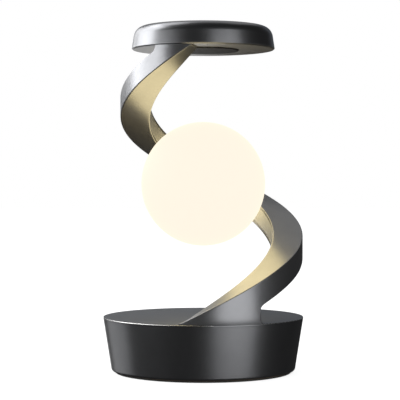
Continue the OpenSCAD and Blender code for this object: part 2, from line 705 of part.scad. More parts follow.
// Bowl of the base: floor and leaning wall, open at the top
module base_bowl() {
    r_round = side_r(foot_h + bowl_round) - bowl_round;
    rail_y = (switch_board_w + rail_w) / 2 - rail_grip;
    slot_w = switch_board_w + 2 * nest_gap;
    mouth = 2 * inlet_gap;
    color("#4b4d50") difference() {
        union() {
            rotate_extrude() polygon(concat(
                [[0, z_floor], [0, foot_h]],
                arc(r_round, foot_h + bowl_round, bowl_round, -90, -side_lean, 6),
                [[side_r(z_seam), z_seam], [side_r(z_seam) - base_wall, z_seam],
                 [side_r(z_floor) - base_wall, z_floor]]));
            at_posts() translate([0, 0, z_floor - join]) cylinder(d = post_d, h = post_top - z_floor + join);
            intersection() {
                on_button() translate([0, 0, r_collar])
                    cylinder(d = button_d + 2 * collar_w, h = collar_h + base_wall);
                translate([0, 0, z_floor]) cylinder(r1 = side_r(z_floor) - join, r2 = side_r(z_seam) - join,
                    h = z_seam - z_floor);
            }
            rotate([0, 0, button_t]) for (s = [-1, 1])
                translate([r_switch_board - rail_side, s * rail_y - rail_w / 2, z_floor - join])
                    cube([board_t + 2 * rail_side, rail_w, rail_h + join]);
        }
        ring(post_r - foot_w / 2 - nest_gap, post_r + foot_w / 2 + nest_gap, foot_h - cut, cut + foot_sink);
        at_posts() translate([0, 0, foot_h - cut])
            cylinder(d = screw_head_d + 2 * head_gap, h = seat_z - foot_h + cut);
        at_posts() screw_hole(foot_h, post_top);
        on_button() translate([0, 0, r_collar - cut])
            cylinder(d = button_d + 2 * slide_gap, h = r_button_wall - r_collar + collar_w + cut);
        rotate([0, 0, button_t]) translate([r_switch_board - nest_gap, -slot_w / 2, z_floor])
            cube([board_t + 2 * nest_gap, slot_w, rail_h + cut]);
        translate([0, r_top + cut, z_inlet]) rotate([90, 0, 0])
            linear_extrude(height = r_top - y_inlet + inlet_l) stadium(inlet_w + mouth, inlet_h + mouth);
    }
}

// Lid of the base; the arm stands on it
module top_plate() {
    r_lid = min(side_r(z_plate - lid_lip_h), side_r(z_seam)) - base_wall - nest_gap;
    color("#55575a") difference() {
        union() {
            rotate_extrude() polygon([[0, z_plate], [0, base_h], [r_top - rim_bevel, base_h],
                [side_r(base_h - rim_bevel), base_h - rim_bevel], [side_r(z_seam), z_seam], [r_lid, z_seam],
                [r_lid, z_plate - lid_lip_h], [r_lid - lid_lip_t, z_plate - lid_lip_h],
                [r_lid - lid_lip_t, z_plate]]);
            at_posts() translate([0, 0, post_top]) cylinder(d = boss_d, h = boss_h + join);
        }
        at_posts() screw_hole(post_top - cut, case_bite + cut + head_gap);
        at_foot_screws() screw_hole(z_plate - cut, top_t + 2 * cut, foot_screw_d);
        at_wire_in() translate([0, 0, z_plate - cut]) cylinder(d = wire_hole_d, h = top_t + 2 * cut);
    }
}

// Four screws from below, through the posts of the bowl into the lid
module case_screws() {
    color("#b8babd") at_posts() screw(seat_z, 0, screw_d, screw_head_d, screw_head_h, seat_t + case_bite);
}

// Steel weight on the floor of the bowl
module ballast_plate() {
    color("#7d8083") difference() {
        ring(ballast_hole_d / 2, r_ballast, z_floor, ballast_t);
        at_stands() screw_hole(z_ballast - board_bite - head_gap, board_bite + head_gap + cut);
    }
}

// Four tubes that carry the board
module standoffs() {
    color("#c9a94f") at_stands() ring(screw_d / 2 + screw_gap, stand_d / 2, z_ballast, stand_h);
}

// Control board: it fits between the posts, with a tongue at the back for the inlet
module control_board() {
    half_w = post_r * cos(45) - post_d / 2 - board_side_gap;
    pad_d = socket_d + 2 * socket_pad;
    front = wire_r * sin(wire_t) - pad_d / 2;
    color("#1f5a3a") difference() {
        translate([0, 0, z_board]) linear_extrude(height = board_t) intersection() {
            circle(r = side_r(z_board) - base_wall - board_gap);
            union() {
                translate([-half_w, front]) square([2 * half_w, board_back - front]);
                translate([-tongue_w / 2, 0]) square([tongue_w, r_top]);
                at_wire_in() circle(d = pad_d);
            }
        }
        at_stands() screw_hole(z_board - cut, board_t + 2 * cut);
    }
}

// A square-edged part on the control board, about its middle
module board_block(at, l, w, h) {
    translate([at[0] - l / 2, at[1] - w / 2, z_parts]) cube([l, w, h]);
}

// Chip, choke, capacitors, regulator and the socket of the wires
module board_parts() {
    color("#232323") {
        board_block([0, 0], chip_w, chip_w, chip_h);
        board_block(choke_at, choke_w, choke_w, choke_h);
        board_block(regulator_at, regulator_l, regulator_w, regulator_h);
        for (k = [-1:1]) translate([capacitor_x, capacitor_y + k * capacitor_step, z_parts])
            cylinder(d = capacitor_d, h = capacitor_h);
        at_wire_in() translate([0, 0, z_parts]) cylinder(d = socket_d, h = socket_h);
    }
}

// Four screws through board and tubes into the weight
module board_screws() {
    color("#b8babd") at_stands()
        screw(z_parts, 180, screw_d, screw_head_d, screw_head_h, board_t + stand_h + board_bite);
}

// Metal shell of the power inlet
module inlet_shell() {
    color("#c4c6c8") translate([0, y_inlet, z_inlet]) rotate([90, 0, 0]) difference() {
        linear_extrude(height = inlet_l) stadium(inlet_w, inlet_h);
        translate([0, 0, -cut]) linear_extrude(height = inlet_l - inlet_back + cut)
            stadium(inlet_w - 2 * inlet_wall, inlet_h - 2 * inlet_wall);
    }
}

// Contact tongue in the inlet
module inlet_tongue() {
    color("#151515") translate([-contact_w / 2, y_inlet - inlet_l + inlet_back, z_inlet - contact_t / 2])
        cube([contact_w, inlet_l - inlet_back - contact_in, contact_t]);
}

// Push button on the back of the base
module power_button() {
    r_face = r_button_wall + button_proud;
    color("#2a2b2d") on_button() {
        translate([0, 0, r_flange]) cylinder(d = button_d + 2 * flange_w, h = flange_t);
        translate([0, 0, r_flange]) cylinder(d = button_d, h = r_face - button_bevel - r_flange);
        translate([0, 0, r_face - button_bevel])
            cylinder(d1 = button_d, d2 = button_d - 2 * button_bevel, h = button_bevel);
    }
}

// Plunger between button and switch
module switch_plunger() {
    color("#d8d8d4") on_button() translate([0, 0, r_switch - plunger_in])
        cylinder(d = plunger_d, h = r_flange - r_switch + plunger_in);
}

// Switch body behind the button
module push_switch() {
    color("#2e2e30") difference() {
        rotate([0, 0, button_t]) translate([r_switch - switch_t, -switch_w / 2, button_z - switch_w / 2])
            cube([switch_t, switch_w, switch_w]);
        on_button() translate([0, 0, r_switch - switch_t - cut])
            cylinder(d = plunger_d + 2 * slide_gap, h = switch_t + 2 * cut);
    }
}

// Upright board that carries the switch
module switch_board() {
    color("#1f5a3a") difference() {
        rotate([0, 0, button_t]) translate([r_switch_board, -switch_board_w / 2, z_floor])
            cube([board_t, switch_board_w, button_z + switch_board_up - z_floor]);
        on_button() translate([0, 0, r_switch_board - cut])
            cylinder(d = plunger_d + 2 * slide_gap, h = board_t + 2 * cut);
    }
}

// Flat coil under the lid: it sends power to the ball
module transmitter_coil() {
    color("#b5713a") ring(tx_hole_d / 2, tx_d / 2, z_plate - coil_t, coil_t);
}

// Ferrite disc behind that coil
module transmitter_ferrite() {
    color("#39393b") translate([0, 0, z_plate - coil_t - ferrite_t])
        cylinder(r = tx_d / 2 + ferrite_over, h = ferrite_t);
}

// Two screws from inside the base up into the foot of the arm
module foot_screws() {
    color("#b8babd") at_foot_screws()
        screw(z_plate, 0, foot_screw_d, foot_screw_head_d, foot_screw_head_h, top_t + foot_bite);
}

// The arm: one turn of a helical channel, open towards the ball
module arm_shell() {
    color("#5a5c5f") difference() {
        polyhedron(points = [for (k = [0:ring_n - 1]) each ring_pts(k)], faces = concat(
            [at_ring(0, solid_loop, ring_size)],
            [for (k = [0:k_in - 1]) each skin(k, solid_loop, ring_size)],
            [at_ring(k_in, turned(hollow_loop), ring_size)],
            [for (k = [k_in:k_out - 1]) each skin(k, full_loop, ring_size)],
            [at_ring(k_out, hollow_loop, ring_size)],
            [for (k = [k_out:ring_n - 2]) each skin(k, solid_loop, ring_size)],
            [at_ring(ring_n - 1, turned(solid_loop), ring_size)]), convexity = 10);
        at_foot_screws() screw_hole(base_h - cut, foot_bite + head_gap + cut, foot_screw_d, $fn = screw_fn);
        at_wire_in() translate([0, 0, base_h - cut])
            cylinder(d = wire_hole_d, h = arm_z(wire_t) - base_h + cut, $fn = screw_fn);
        at_wire_out() translate([0, 0, arm_z(t_out)])
            cylinder(d = wire_hole_d, h = head_z - arm_z(t_out) + cut, $fn = screw_fn);
        at_tip_screws() screw_hole(head_z - tip_bite - head_gap, tip_bite + head_gap + cut, $fn = screw_fn);
    }
}

// Strip that closes the channel on the side of the ball
module arm_cover() {
    n = k_out - k_in;
    loop = [for (i = [0:strip_size - 1]) i];
    color("#606265") polyhedron(points = [for (k = [k_in:k_out]) each strip_pts(k)], faces = concat(
        [at_ring(0, loop, strip_size)],
        [for (k = [0:n - 1]) each skin(k, loop, strip_size)],
        [at_ring(n, turned(loop), strip_size)]), convexity = 10);
}

// Wires from the control board to the head
module arm_harness() {
    color("#8c2f2a") polyhedron(points = [for (k = [0:wire_n - 1]) each wire_ring(k)], faces = concat(
        [at_ring(0, wire_loop, wire_sides)],
        [for (k = [0:wire_n - 2]) each skin(k, wire_loop, wire_sides)],
        [at_ring(wire_n - 1, turned(wire_loop), wire_sides)]), convexity = 10);
}

// Two screws from inside the head down into the tip of the arm
module tip_screws() {
    color("#b8babd") at_tip_screws()
        screw(z_head_floor, 180, screw_d, small_head_d, small_head_h, head_floor_t + tip_bite);
}

// Underside of the head, with the bevelled lower rim
module head_floor() {
    r_spigot = cap_in_r(z_head_floor) - nest_gap;
    color("#55575a") difference() {
        union() {
            rotate_extrude() polygon([[0, head_z], [r_head - floor_bevel, head_z],
                [r_head, head_z + floor_bevel],
                [r_head, z_rim], [r_spigot, z_rim], [r_spigot, z_head_floor], [0, z_head_floor]]);
            at_head_screws() translate([0, 0, z_head_floor - join])
                cylinder(d = head_boss_d, h = head_board_gap + join);
        }
        translate([0, 0, head_z - cut]) cylinder(r = r_window + nest_gap, h = window_sink + cut);
        translate([0, 0, head_z - cut]) cylinder(r = r_window - window_ledge, h = head_floor_t + 2 * cut);
        at_head_screws() translate([0, 0, head_z - cut])
            cylinder(d = small_head_d + 2 * head_gap, h = small_head_h + cut);
        at_head_screws() screw_hole(head_z, z_head_board - head_z + cut);
        at_wire_out() translate([0, 0, head_z - cut]) cylinder(d = wire_hole_d, h = head_floor_t + 2 * cut);
        at_tip_screws() screw_hole(head_z - cut, head_floor_t + 2 * cut);
    }
}

// Cap of the head: leaning side, rounded shoulder, flat top
module head_cap() {
    r_arc = r_head - cap_lean - head_round;
    z_arc = lamp_h - head_round;
    color("#4f5154") difference() {
        union() {
            rotate_extrude() polygon(concat([[r_head - cap_wall, z_rim], [r_head, z_rim]],
                arc(r_arc, z_arc, head_round, 0, 90, 10),
                [[0, lamp_h], [0, z_cap_in]],
                arc(r_arc, z_arc, head_round - cap_wall, 90, 0, 8)));
            at_head_screws() translate([0, 0, z_cap_boss])
                cylinder(d = head_boss_d, h = z_cap_in - z_cap_boss + join);
        }
        at_head_screws() screw_hole(z_cap_boss - cut, head_bite + head_gap + cut);
    }
}

// Three screws from below, through floor and board into the cap
module head_screws() {
    z_seat = head_z + small_head_h;
    color("#8d8f92") at_head_screws()
        screw(z_seat, 0, screw_d, small_head_d, small_head_h, z_cap_boss + head_bite - z_seat);
}

// Dark window under the electromagnet, with a recess for the sensor
module pole_window() {
    z_low = head_z - window_proud;
    recess_d = norm([sensor_l, sensor_w]) + 2 * sensor_gap;
    color("#1b1b1c") difference() {
        union() {
            translate([0, 0, z_low]) cylinder(r1 = r_window - window_bevel, r2 = r_window, h = window_bevel);
            translate([0, 0, z_low + window_bevel])
                cylinder(r = r_window, h = window_proud + window_sink - window_bevel);
        }
        translate([0, 0, z_spool - sensor_h]) cylinder(d = recess_d, h = sensor_h + cut);
    }
}

// Sensor that watches the ball's magnet
module hall_sensor() {
    color("#101010") translate([-sensor_l / 2, -sensor_w / 2, z_spool - sensor_h])
        cube([sensor_l, sensor_w, sensor_h]);
}

// Magnet in the pole that takes the ball's dead weight
module bias_magnet() {
    color("#a9abad") translate([0, 0, z_spool]) cylinder(r = r_pole - screw_gap, h = bias_h);
}

// Steel pole with its back plate
module magnet_core() {
    color("#8a8d90") {
        translate([0, 0, z_spool + bias_h]) cylinder(r = r_pole - screw_gap, h = z_cap_in - z_spool - bias_h);
        translate([0, 0, z_yoke]) cylinder(r = r_spool, h = yoke_t);
    }
}

// Spool of the coil
module coil_bobbin() {
    color("#d9d6cc") difference() {
        union() {
            translate([0, 0, z_spool]) cylinder(r = r_spool, h = spool_t);
            translate([0, 0, z_spool]) cylinder(r = r_pole + spool_t, h = z_yoke - z_spool);
            translate([0, 0, z_yoke - spool_t]) cylinder(r = r_spool, h = spool_t);
        }
        translate([0, 0, z_spool - cut]) cylinder(r = r_pole, h = z_yoke - z_spool + 2 * cut);
    }
}

// Copper winding of the electromagnet
module coil_winding() {
    play = spool_t + coil_gap;
    color("#b5713a") ring(r_pole + play, r_spool - join, z_spool + play, z_yoke - z_spool - 2 * play);
}

// Ring board in the head: coil driver and sensor circuit
module head_board() {
    color("#1f5a3a") difference() {
        ring(r_window + head_board_in, cap_in_r(z_cap_boss) - head_board_in, z_head_board, board_t);
        at_head_screws() screw_hole(z_head_board - cut, board_t + 2 * cut);
    }
}

// Upper half of the ball, with the lip of the lap joint
module ball_upper_shell() {
    color("#fdf3dd") translate([0, 0, z_ball]) rotate_extrude() polygon(concat(
        turned(arc(0, 0, r_ball, 0, 90, 24)),
        [[r_lip, 0], [r_lip, -lap_h], [r_lip - lip_t, -lap_h], [r_lip - lip_t, lap_h]],
        arc(0, 0, r_ball_in, asin(lap_h / r_ball_in), 90, 22)));
}

// Lower half of the ball, with the ledge for the frame
module ball_lower_shell() {
    z_ledge = z_frame - ledge_h;
    r_ledge = r_frame - ledge_w;
    color("#fdf3dd") translate([0, 0, z_ball]) rotate_extrude() polygon(concat(
        [[r_ball_in, 0]], arc(0, 0, r_ball, 0, -90, 24),
        arc(0, 0, r_ball_in, -90, asin(z_ledge / r_ball_in), 20),
        [[r_ledge, z_ledge], [r_ledge, z_frame], [r_frame + nest_gap, z_frame]]));
}

// Disc across the ball that carries everything inside it
module ball_frame() {
    color("#efefea") translate([0, 0, z_ball]) difference() {
        union() {
            translate([0, 0, z_frame]) cylinder(r = r_frame, h = frame_t);
            translate([0, 0, z_stem]) cylinder(d = stem_d, h = z_frame - z_stem + join);
        }
        around(r_frame - vent_rim - vent_d / 2, 6, 0) translate([0, 0, z_frame - cut])
            cylinder(d = vent_d, h = frame_t + 2 * cut);
    }
}

// Two ring boards, one on each side of the frame
module led_boards() {
    color("#f4f4ef") for (z = [z_frame + frame_t, z_frame - led_board_t])
        ring(led_ring_hole_d / 2, led_ring_d / 2, z_ball + z, led_board_t);
}

// Light sources on both ring boards
module leds() {
    z_up = z_frame + frame_t + led_board_t;
    z_down = z_frame - led_board_t - led_h;
    color("#ffe9a8") around((led_ring_d + led_ring_hole_d) / 4, led_n, 0) for (z = [z_up, z_down])
        translate([-led_l / 2, -led_w / 2, z_ball + z]) cube([led_l, led_w, led_h]);
}

// Post that holds the magnet near the top of the ball
module magnet_post() {
    bore = magnet_d + 2 * screw_gap;
    color("#e6e6e0") translate([0, 0, z_ball]) difference() {
        union() {
            translate([0, 0, z_frame + frame_t]) cylinder(d = stem_d, h = z_cup - z_frame - frame_t + join);
            translate([0, 0, z_cup]) cylinder(d = bore + 2 * cup_wall, h = cup_h);
        }
        translate([0, 0, z_cup + cup_floor]) cylinder(d = bore, h = cup_h);
    }
}

// Magnet the head pulls on
module ball_magnet() {
    color("#b5b7ba") translate([0, 0, z_ball + z_cup + cup_floor]) cylinder(d = magnet_d, h = magnet_h);
}

// Ferrite disc over the receiving coil
module receiver_ferrite() {
    color("#39393b") translate([0, 0, z_ball + z_rx_ferrite]) cylinder(d = rx_d, h = ferrite_t);
}

// Flat coil that takes up the power sent by the base
module receiver_coil() {
    color("#b5713a") ring(rx_hole_d / 2, rx_d / 2, z_ball + z_rx, coil_t);
}

foot_ring();
base_bowl();
top_plate();
case_screws();
ballast_plate();
standoffs();
control_board();
board_parts();
board_screws();
inlet_shell();
inlet_tongue();
power_button();
switch_plunger();
push_switch();
switch_board();
transmitter_coil();
transmitter_ferrite();
foot_screws();
arm_shell();
arm_cover();
arm_harness();
tip_screws();
head_floor();
head_cap();
head_screws();
pole_window();
hall_sensor();
bias_magnet();
magnet_core();
coil_bobbin();
coil_winding();
head_board();
ball_upper_shell();
ball_lower_shell();
ball_frame();
led_boards();
leds();
magnet_post();
ball_magnet();
receiver_ferrite();
receiver_coil();
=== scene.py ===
# %% [markdown]
# # A lamp with a floating ball
# The lamp is a drum-shaped base, an arm that winds once round a lit ball, and a flat head. Nothing solid
# holds the ball: a magnet in the head does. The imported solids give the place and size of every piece, so
# this lesson starts by loading them. The smooth skins that catch the light are then worked out again as
# fine surfaces, and every piece gets a finish of its own.

# %% Load the solids
import math

import bmesh
import bpy
import numpy as np
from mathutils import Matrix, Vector


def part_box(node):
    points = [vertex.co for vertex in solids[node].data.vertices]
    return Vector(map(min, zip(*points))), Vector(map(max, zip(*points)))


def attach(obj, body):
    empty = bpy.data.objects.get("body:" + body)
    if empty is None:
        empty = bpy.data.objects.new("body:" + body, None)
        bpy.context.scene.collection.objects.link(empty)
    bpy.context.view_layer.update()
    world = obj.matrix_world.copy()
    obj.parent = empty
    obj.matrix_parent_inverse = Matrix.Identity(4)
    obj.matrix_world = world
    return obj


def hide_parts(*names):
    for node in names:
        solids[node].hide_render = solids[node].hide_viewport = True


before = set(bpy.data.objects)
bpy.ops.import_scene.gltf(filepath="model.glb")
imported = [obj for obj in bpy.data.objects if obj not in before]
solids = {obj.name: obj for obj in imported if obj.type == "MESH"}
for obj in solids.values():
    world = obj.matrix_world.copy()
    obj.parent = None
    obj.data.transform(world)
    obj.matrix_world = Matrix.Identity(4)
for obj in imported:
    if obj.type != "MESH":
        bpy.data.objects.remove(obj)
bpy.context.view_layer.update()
scene = bpy.context.scene
print("solids:", len(solids))

# %% [markdown]
# ## Sizes
# Levels are read from the solids, in millimetres, because a maker thinks in millimetres and because the
# skins below must close up with the pieces that stay as they are. Diameters are typed in as they were
# drawn, because a box round flat facets can come out a little small.

# %% Read the main sizes
MM = 0.001
LOW, HIGH = 0, 1
Z_AXIS = 2


def level_of(node, end):
    """Level of a solid's underside (LOW) or top (HIGH), in millimetres."""
    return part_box(node)[end][Z_AXIS] / MM


BASE_D_TOP = 135
BASE_D_BOTTOM = 123.4
HEAD_D = 96
BALL_D = 83.4
FOOT_H = level_of("base_bowl", LOW)
SEAM_Z = level_of("base_bowl", HIGH)
BASE_H = level_of("top_plate", HIGH)
HEAD_Z = level_of("head_floor", LOW)
RIM_Z = level_of("head_cap", LOW)
LAMP_H = level_of("head_cap", HIGH)
BALL_Z = level_of("ball_upper_shell", HIGH) - BALL_D / 2
print(f"base {BASE_H:.1f}, head {HEAD_Z:.1f} to {LAMP_H:.1f}, middle of the ball {BALL_Z:.1f} mm")

# %% [markdown]
# ## Helpers for surfaces
# Every new skin is a grid of points: rows run along the piece, columns run round it. A grid can be typed
# in point by point, but a formula on whole arrays is shorter and stays smooth at any fineness. Real edges
# are never razor sharp, so outlines get rounded corners before they are carried along. Those roundings
# catch the thin highlights.

# %% Round the corners of an outline
TINY = 1e-9
LARGEST_SHARE = 1 / 3
SUPPORT = 1.5


def soften(corners, fillet, steps=6):
    """Round every corner of closed outlines, an array (..., corners, coordinates).
    A corner P gives way to the curve (1-u)^2 A + 2u(1-u) P + u^2 B, where A and B lie one fillet before and
    after it, or a third of the edge if that is less. One more point half a fillet outside each end keeps the
    flats between the corners flat when they are shaded."""
    before = np.roll(corners, 1, axis=-2) - corners
    after = np.roll(corners, -1, axis=-2) - corners
    fillet = np.asarray(fillet, float)[..., None]
    arms = []
    for edge in (before, after):
        length = np.linalg.norm(edge, axis=-1, keepdims=True)
        arms.append(edge / np.maximum(length, TINY) * np.minimum(fillet, length * LARGEST_SHARE))
    u = np.linspace(0, 1, steps + 1)[:, None]
    back, forth = (arm[..., None, :] for arm in arms)
    curve = corners[..., None, :] + (1 - u) ** 2 * back + u ** 2 * forth
    start = corners[..., None, :] + SUPPORT * back
    end = corners[..., None, :] + SUPPORT * forth
    points = np.concatenate([start, curve, end], axis=-2)
    return points.reshape(*corners.shape[:-2], -1, corners.shape[-1])


square = np.array([[0, 0], [1, 0], [1, 1], [0, 1]])
print("a square with round corners has", len(soften(square, 0.1)), "points")

# %% Turn a grid of points into a mesh
SHARP = math.radians(35)
MERGE = 1e-6


def skin(name, grid):
    """Mesh over a grid (rows, columns, 3) in millimetres: cell (i, j) is the quad between rows i and i+1 and
    columns j and j+1, and the last column joins the first. Points that coincide, as at a pole, are merged.
    The faces are turned outwards if the signed volume comes out negative."""
    rows, columns = grid.shape[:2]
    index = np.arange(rows * columns).reshape(rows, columns)
    beside = np.roll(index, -1, axis=1)
    quads = np.stack([index[:-1], beside[:-1], beside[1:], index[1:]], axis=-1).reshape(-1, 4)
    mesh = bpy.data.meshes.new(name)
    mesh.from_pydata((grid.reshape(-1, 3) * MM).tolist(), [], quads.tolist())
    work = bmesh.new()
    work.from_mesh(mesh)
    bmesh.ops.remove_doubles(work, verts=work.verts, dist=MERGE)
    if work.calc_volume(signed=True) < 0:
        bmesh.ops.reverse_faces(work, faces=work.faces)
    open_edges = sum(not edge.is_manifold for edge in work.edges)
    work.to_mesh(mesh)
    work.free()
    mesh.polygons.foreach_set("use_smooth", np.ones(len(mesh.polygons), bool))
    mesh.set_sharp_from_angle(angle=SHARP)
    print(f"{name}: {len(mesh.polygons)} faces, {open_edges} open edges")
    return mesh


def close_ends(grid):
    """The same grid with one more row at each end, drawn together in the middle of the end it closes."""
    first = np.broadcast_to(grid[:1].mean(axis=1, keepdims=True), grid[:1].shape)
    last = np.broadcast_to(grid[-1:].mean(axis=1, keepdims=True), grid[-1:].shape)
    return np.concatenate([first, grid, last])


# %% Turned outlines and arcs
def lathe(profile, columns=256):
    """Turn a profile (points, radius and height) round the upright axis:
    x = radius cos(a), y = radius sin(a), z = height, for angles a all the way round."""
    angle = np.linspace(0, 2 * np.pi, columns, endpoint=False)
    radius, height = profile[:, :1], profile[:, 1:]
    return np.stack([radius * np.cos(angle), radius * np.sin(angle), height + 0 * angle], axis=-1)


def arc(centre, radius, start, end, steps=24):
    """Points of an arc: centre + radius (cos a, sin a), with a from start to end in degrees."""
    angle = np.radians(np.linspace(start, end, steps + 1))
    return np.array(centre) + radius * np.stack([np.cos(angle), np.sin(angle)], axis=-1)


print("a quarter of a circle has", len(arc((0, 0), 1, 0, 90)), "points")

# %% Put a piece in the scene
def place(name, mesh, body, slot, *replaced):
    """Object for a mesh that rides on a body and stands for the solids it replaces."""
    piece = bpy.data.objects.new(name, mesh)
    scene.collection.objects.link(piece)
    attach(piece, body)
    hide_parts(*replaced)
    print(name, "stands for", ", ".join(replaced))
    return piece


# %% [markdown]
# ## The arm
# On the real lamp the arm is one casting: a flat bar, wider than it is high, that leaves the base's front
# edge, winds anticlockwise behind the ball and ends flat under the head. A Screw modifier gives only an
# even helix. This arm changes its radius, its height and its rate of climb along the way, so its section
# is carried along a formula. At both ends it is cut off level, and a round hollow turns its free side
# into that cut.

# %% Path of the arm
ARM_W = 20
ARM_H_FOOT = 16.7
ARM_H_TIP = 12.9
INNER_UP = 0.8
INNER_DOWN = 0.8
END_T = 0.8
BALL_CLEAR = 1
FOOT_BACK = 0.3
TIP_BACK = 2.3
RADIUS_FOOT = BASE_D_TOP / 2 - FOOT_BACK
RADIUS_PASS = BALL_D / 2 + BALL_CLEAR + ARM_W
RADIUS_TIP = HEAD_D / 2 - TIP_BACK
# Angles in degrees: the arm starts, leaves the base, begins to change its radius, passes behind the ball,
# meets the head and ends
T_START, T_FOOT, T_BEND, T_PASS, T_TIP, T_END = -104, -56, -40, 100, 231, 261
CLIMB_MID = 0.59
CLIMB_EASE = 0.12


def turn(t):
    """Share of the whole turn behind an angle t, given in degrees."""
    return (t - T_START) / (T_END - T_START)


def arm_height(t):
    """Upright height of the outer face: falls evenly from the foot to the tip."""
    return ARM_H_FOOT + (ARM_H_TIP - ARM_H_FOOT) * turn(t)


def arm_z(t):
    """Level of the middle of the section: a straight climb plus a cubic that is steeper at both ends."""
    u = turn(t)
    cubic = (u - CLIMB_MID) ** 3 + CLIMB_MID ** 3
    whole = (1 - CLIMB_MID) ** 3 + CLIMB_MID ** 3
    low = BASE_H - ARM_H_FOOT / 2
    high = HEAD_Z + ARM_H_TIP / 2
    return low + (high - low) * ((1 - CLIMB_EASE * whole) * u + CLIMB_EASE * cubic)


def arm_radius(t):
    """Outer radius: the parabola through the radius at the foot, beside the ball and at the tip."""
    b = np.maximum(t - T_BEND, 0) / (T_END - T_BEND)
    p = (T_PASS - T_BEND) / (T_END - T_BEND)
    foot = RADIUS_FOOT * (b - p) * (b - 1) / p
    beside = RADIUS_PASS * b * (1 - b) / (p * (1 - p))
    return foot + beside + RADIUS_TIP * b * (b - p) / (1 - p)


print(f"outer radius {RADIUS_FOOT:.1f}, by the ball {RADIUS_PASS:.1f}, at the tip {RADIUS_TIP:.1f} mm")

# %% Edges of the arm
def top_edge(t, extra=0.0):
    """Level of the arm's upper edge, cut off at the head and never thinner than its end on the base."""
    return np.clip(arm_z(t) + arm_height(t) / 2 + extra, BASE_H + END_T, HEAD_Z)


def low_edge(t, extra=0.0):
    """Level of the arm's lower edge, cut off at the base and never thinner than its end at the head."""
    return np.clip(arm_z(t) - arm_height(t) / 2 - extra, BASE_H, HEAD_Z - END_T)


def degrees_of(length, t):
    """Degrees of turn for a length along the middle of the section."""
    return np.degrees(length / (arm_radius(t) - ARM_W / 2))


print(f"the arm climbs from {arm_z(T_START):.1f} to {arm_z(T_END):.1f} mm")

# %% [markdown]
# The rings of the arm stand upright along most of its length. Towards the foot the lower corners fall
# back behind the upper ones: first they follow the hollow, a flare, a short upright wall and a small toe,
# then they run along the base. The tip does the same upside down. A ring that leaned so far in one
# straight line would cross its neighbours, so each of these rings bends once, close to the cut. One list
# of rings describes the whole arm, and no second piece has to be blended in.

# %% Rings of the arm
PINCH = 10
BEND_RISE = 1
TOE_FROM = 30
FOOT_FLARE, FOOT_TOE, FOOT_ARC = 5, 2.2, 64
TIP_FLARE, TIP_TOE, TIP_ARC = 4.8, 0.8, 50
END_STEPS, ROUND_STEPS, WALL_STEPS, RUN_STEPS = 44, 14, 4, 260
# Shares of the free side's way that are used up where the toe begins, where the wall begins and ends
TOE_SHARE, WALL_SHARE, FLARE_SHARE = 1 / 11, 6 / 11, 7 / 11
# Rows of the table of rings
FREE, CUT, CUT_Z, BENT, BENT_Z, DONE = range(6)


def end_rings(t_edge, up, flare, toe, sweep, level, edge_at, t_far):
    """Rings of one end, from its far end inwards: free angle, cut angle, cut level, bend angle, bend level
    and the share of the flare that is done. The cut side runs level from t_far, rounds off with (1 - sin a,
    1 - cos a), follows a wall and goes on with (1 - cos a, sin a) up to the sweep, where it meets the arm's
    own edge."""
    t_pinch = t_edge - up * PINCH
    wide, toe_wide = up * degrees_of(flare, t_edge), up * degrees_of(toe, t_edge)
    meet = t_edge + wide * (1 - math.cos(math.radians(sweep)))
    wall_end = edge_at(meet) - up * flare * math.sin(math.radians(sweep))
    t_toe = t_edge + toe_wide * (1 - math.sin(math.radians(TOE_FROM)))

    def risen(share, cut, at, done):
        """Rings of the hollow: the bend lies halfway between the free angle and the hollow's side."""
        free = t_pinch + (meet - t_pinch) * share
        bent = (free + np.where(done > 0, cut, t_edge)) / 2
        return np.stack([free, cut, at, bent, at + up * BEND_RISE, done])

    s = np.linspace(0, 1, END_STEPS)
    flat = np.stack([t_far + (t_pinch - t_far) * s, t_far + (t_toe - t_far) * s, level + 0 * s,
                     t_far + ((t_edge + t_pinch) / 2 - t_far) * s,
                     level + up * (END_T / 2 * (1 - s) + BEND_RISE * s), 0 * s])
    w = np.linspace(0, 1, ROUND_STEPS + 1)
    a = np.radians(TOE_FROM + (90 - TOE_FROM) * w)
    rounded = risen(TOE_SHARE + (WALL_SHARE - TOE_SHARE) * w, t_edge + toe_wide * (1 - np.sin(a)),
                    level + up * toe * (1 - np.cos(a)), 0 * w)
    a = np.radians(sweep * w[1:])
    flared = risen(FLARE_SHARE + (1 - FLARE_SHARE) * w[1:], t_edge + wide * (1 - np.cos(a)),
                   wall_end + up * flare * np.sin(a), w[1:])
    w = np.linspace(0, 1, WALL_STEPS + 1)[1:]
    start = level + up * toe
    wall = risen(WALL_SHARE + (FLARE_SHARE - WALL_SHARE) * w, t_edge + 0 * w,
                 start + (wall_end - start) * w, 0 * w)
    return np.concatenate([flat, rounded, wall, flared], axis=1), meet


foot, t_lift = end_rings(T_FOOT, 1, FOOT_FLARE, FOOT_TOE, FOOT_ARC, BASE_H, low_edge, T_START)
tip, t_hang = end_rings(T_TIP, -1, TIP_FLARE, TIP_TOE, TIP_ARC, HEAD_Z, top_edge, T_END)
tip = tip[:, ::-1]
run = np.linspace(t_lift, t_hang, RUN_STEPS)[1:-1]
print(foot.shape[1], "rings at the foot,", len(run), f"between {t_lift:.1f} and {t_hang:.1f} degrees")

# %% [markdown]
# The arm is a channel, and a strip closes it on the side of the ball. The strip lies in a shallow rebate,
# so the bar's inner face needs four more corners. Outside the strip's stretch these corners lie in the
# face itself. Where the rebate begins, two rings share one place, one with the rebate and one without,
# and the wall between them closes its end.

# %% Places of the corners
STRIP_EDGE = 1.6
STRIP_FROM, STRIP_TO = -69.45, 246.45
THIRD = 1 / 3
PLAIN_SHARE, BEND_SHARE = 0.45, 0.6


def places(at_foot, at_run, at_tip):
    """Places (angle, level) of one corner of every ring, from a pair for the foot, the run and the tip."""
    return np.concatenate([np.stack(pair, axis=-1) for pair in (at_foot, at_run, at_tip)])


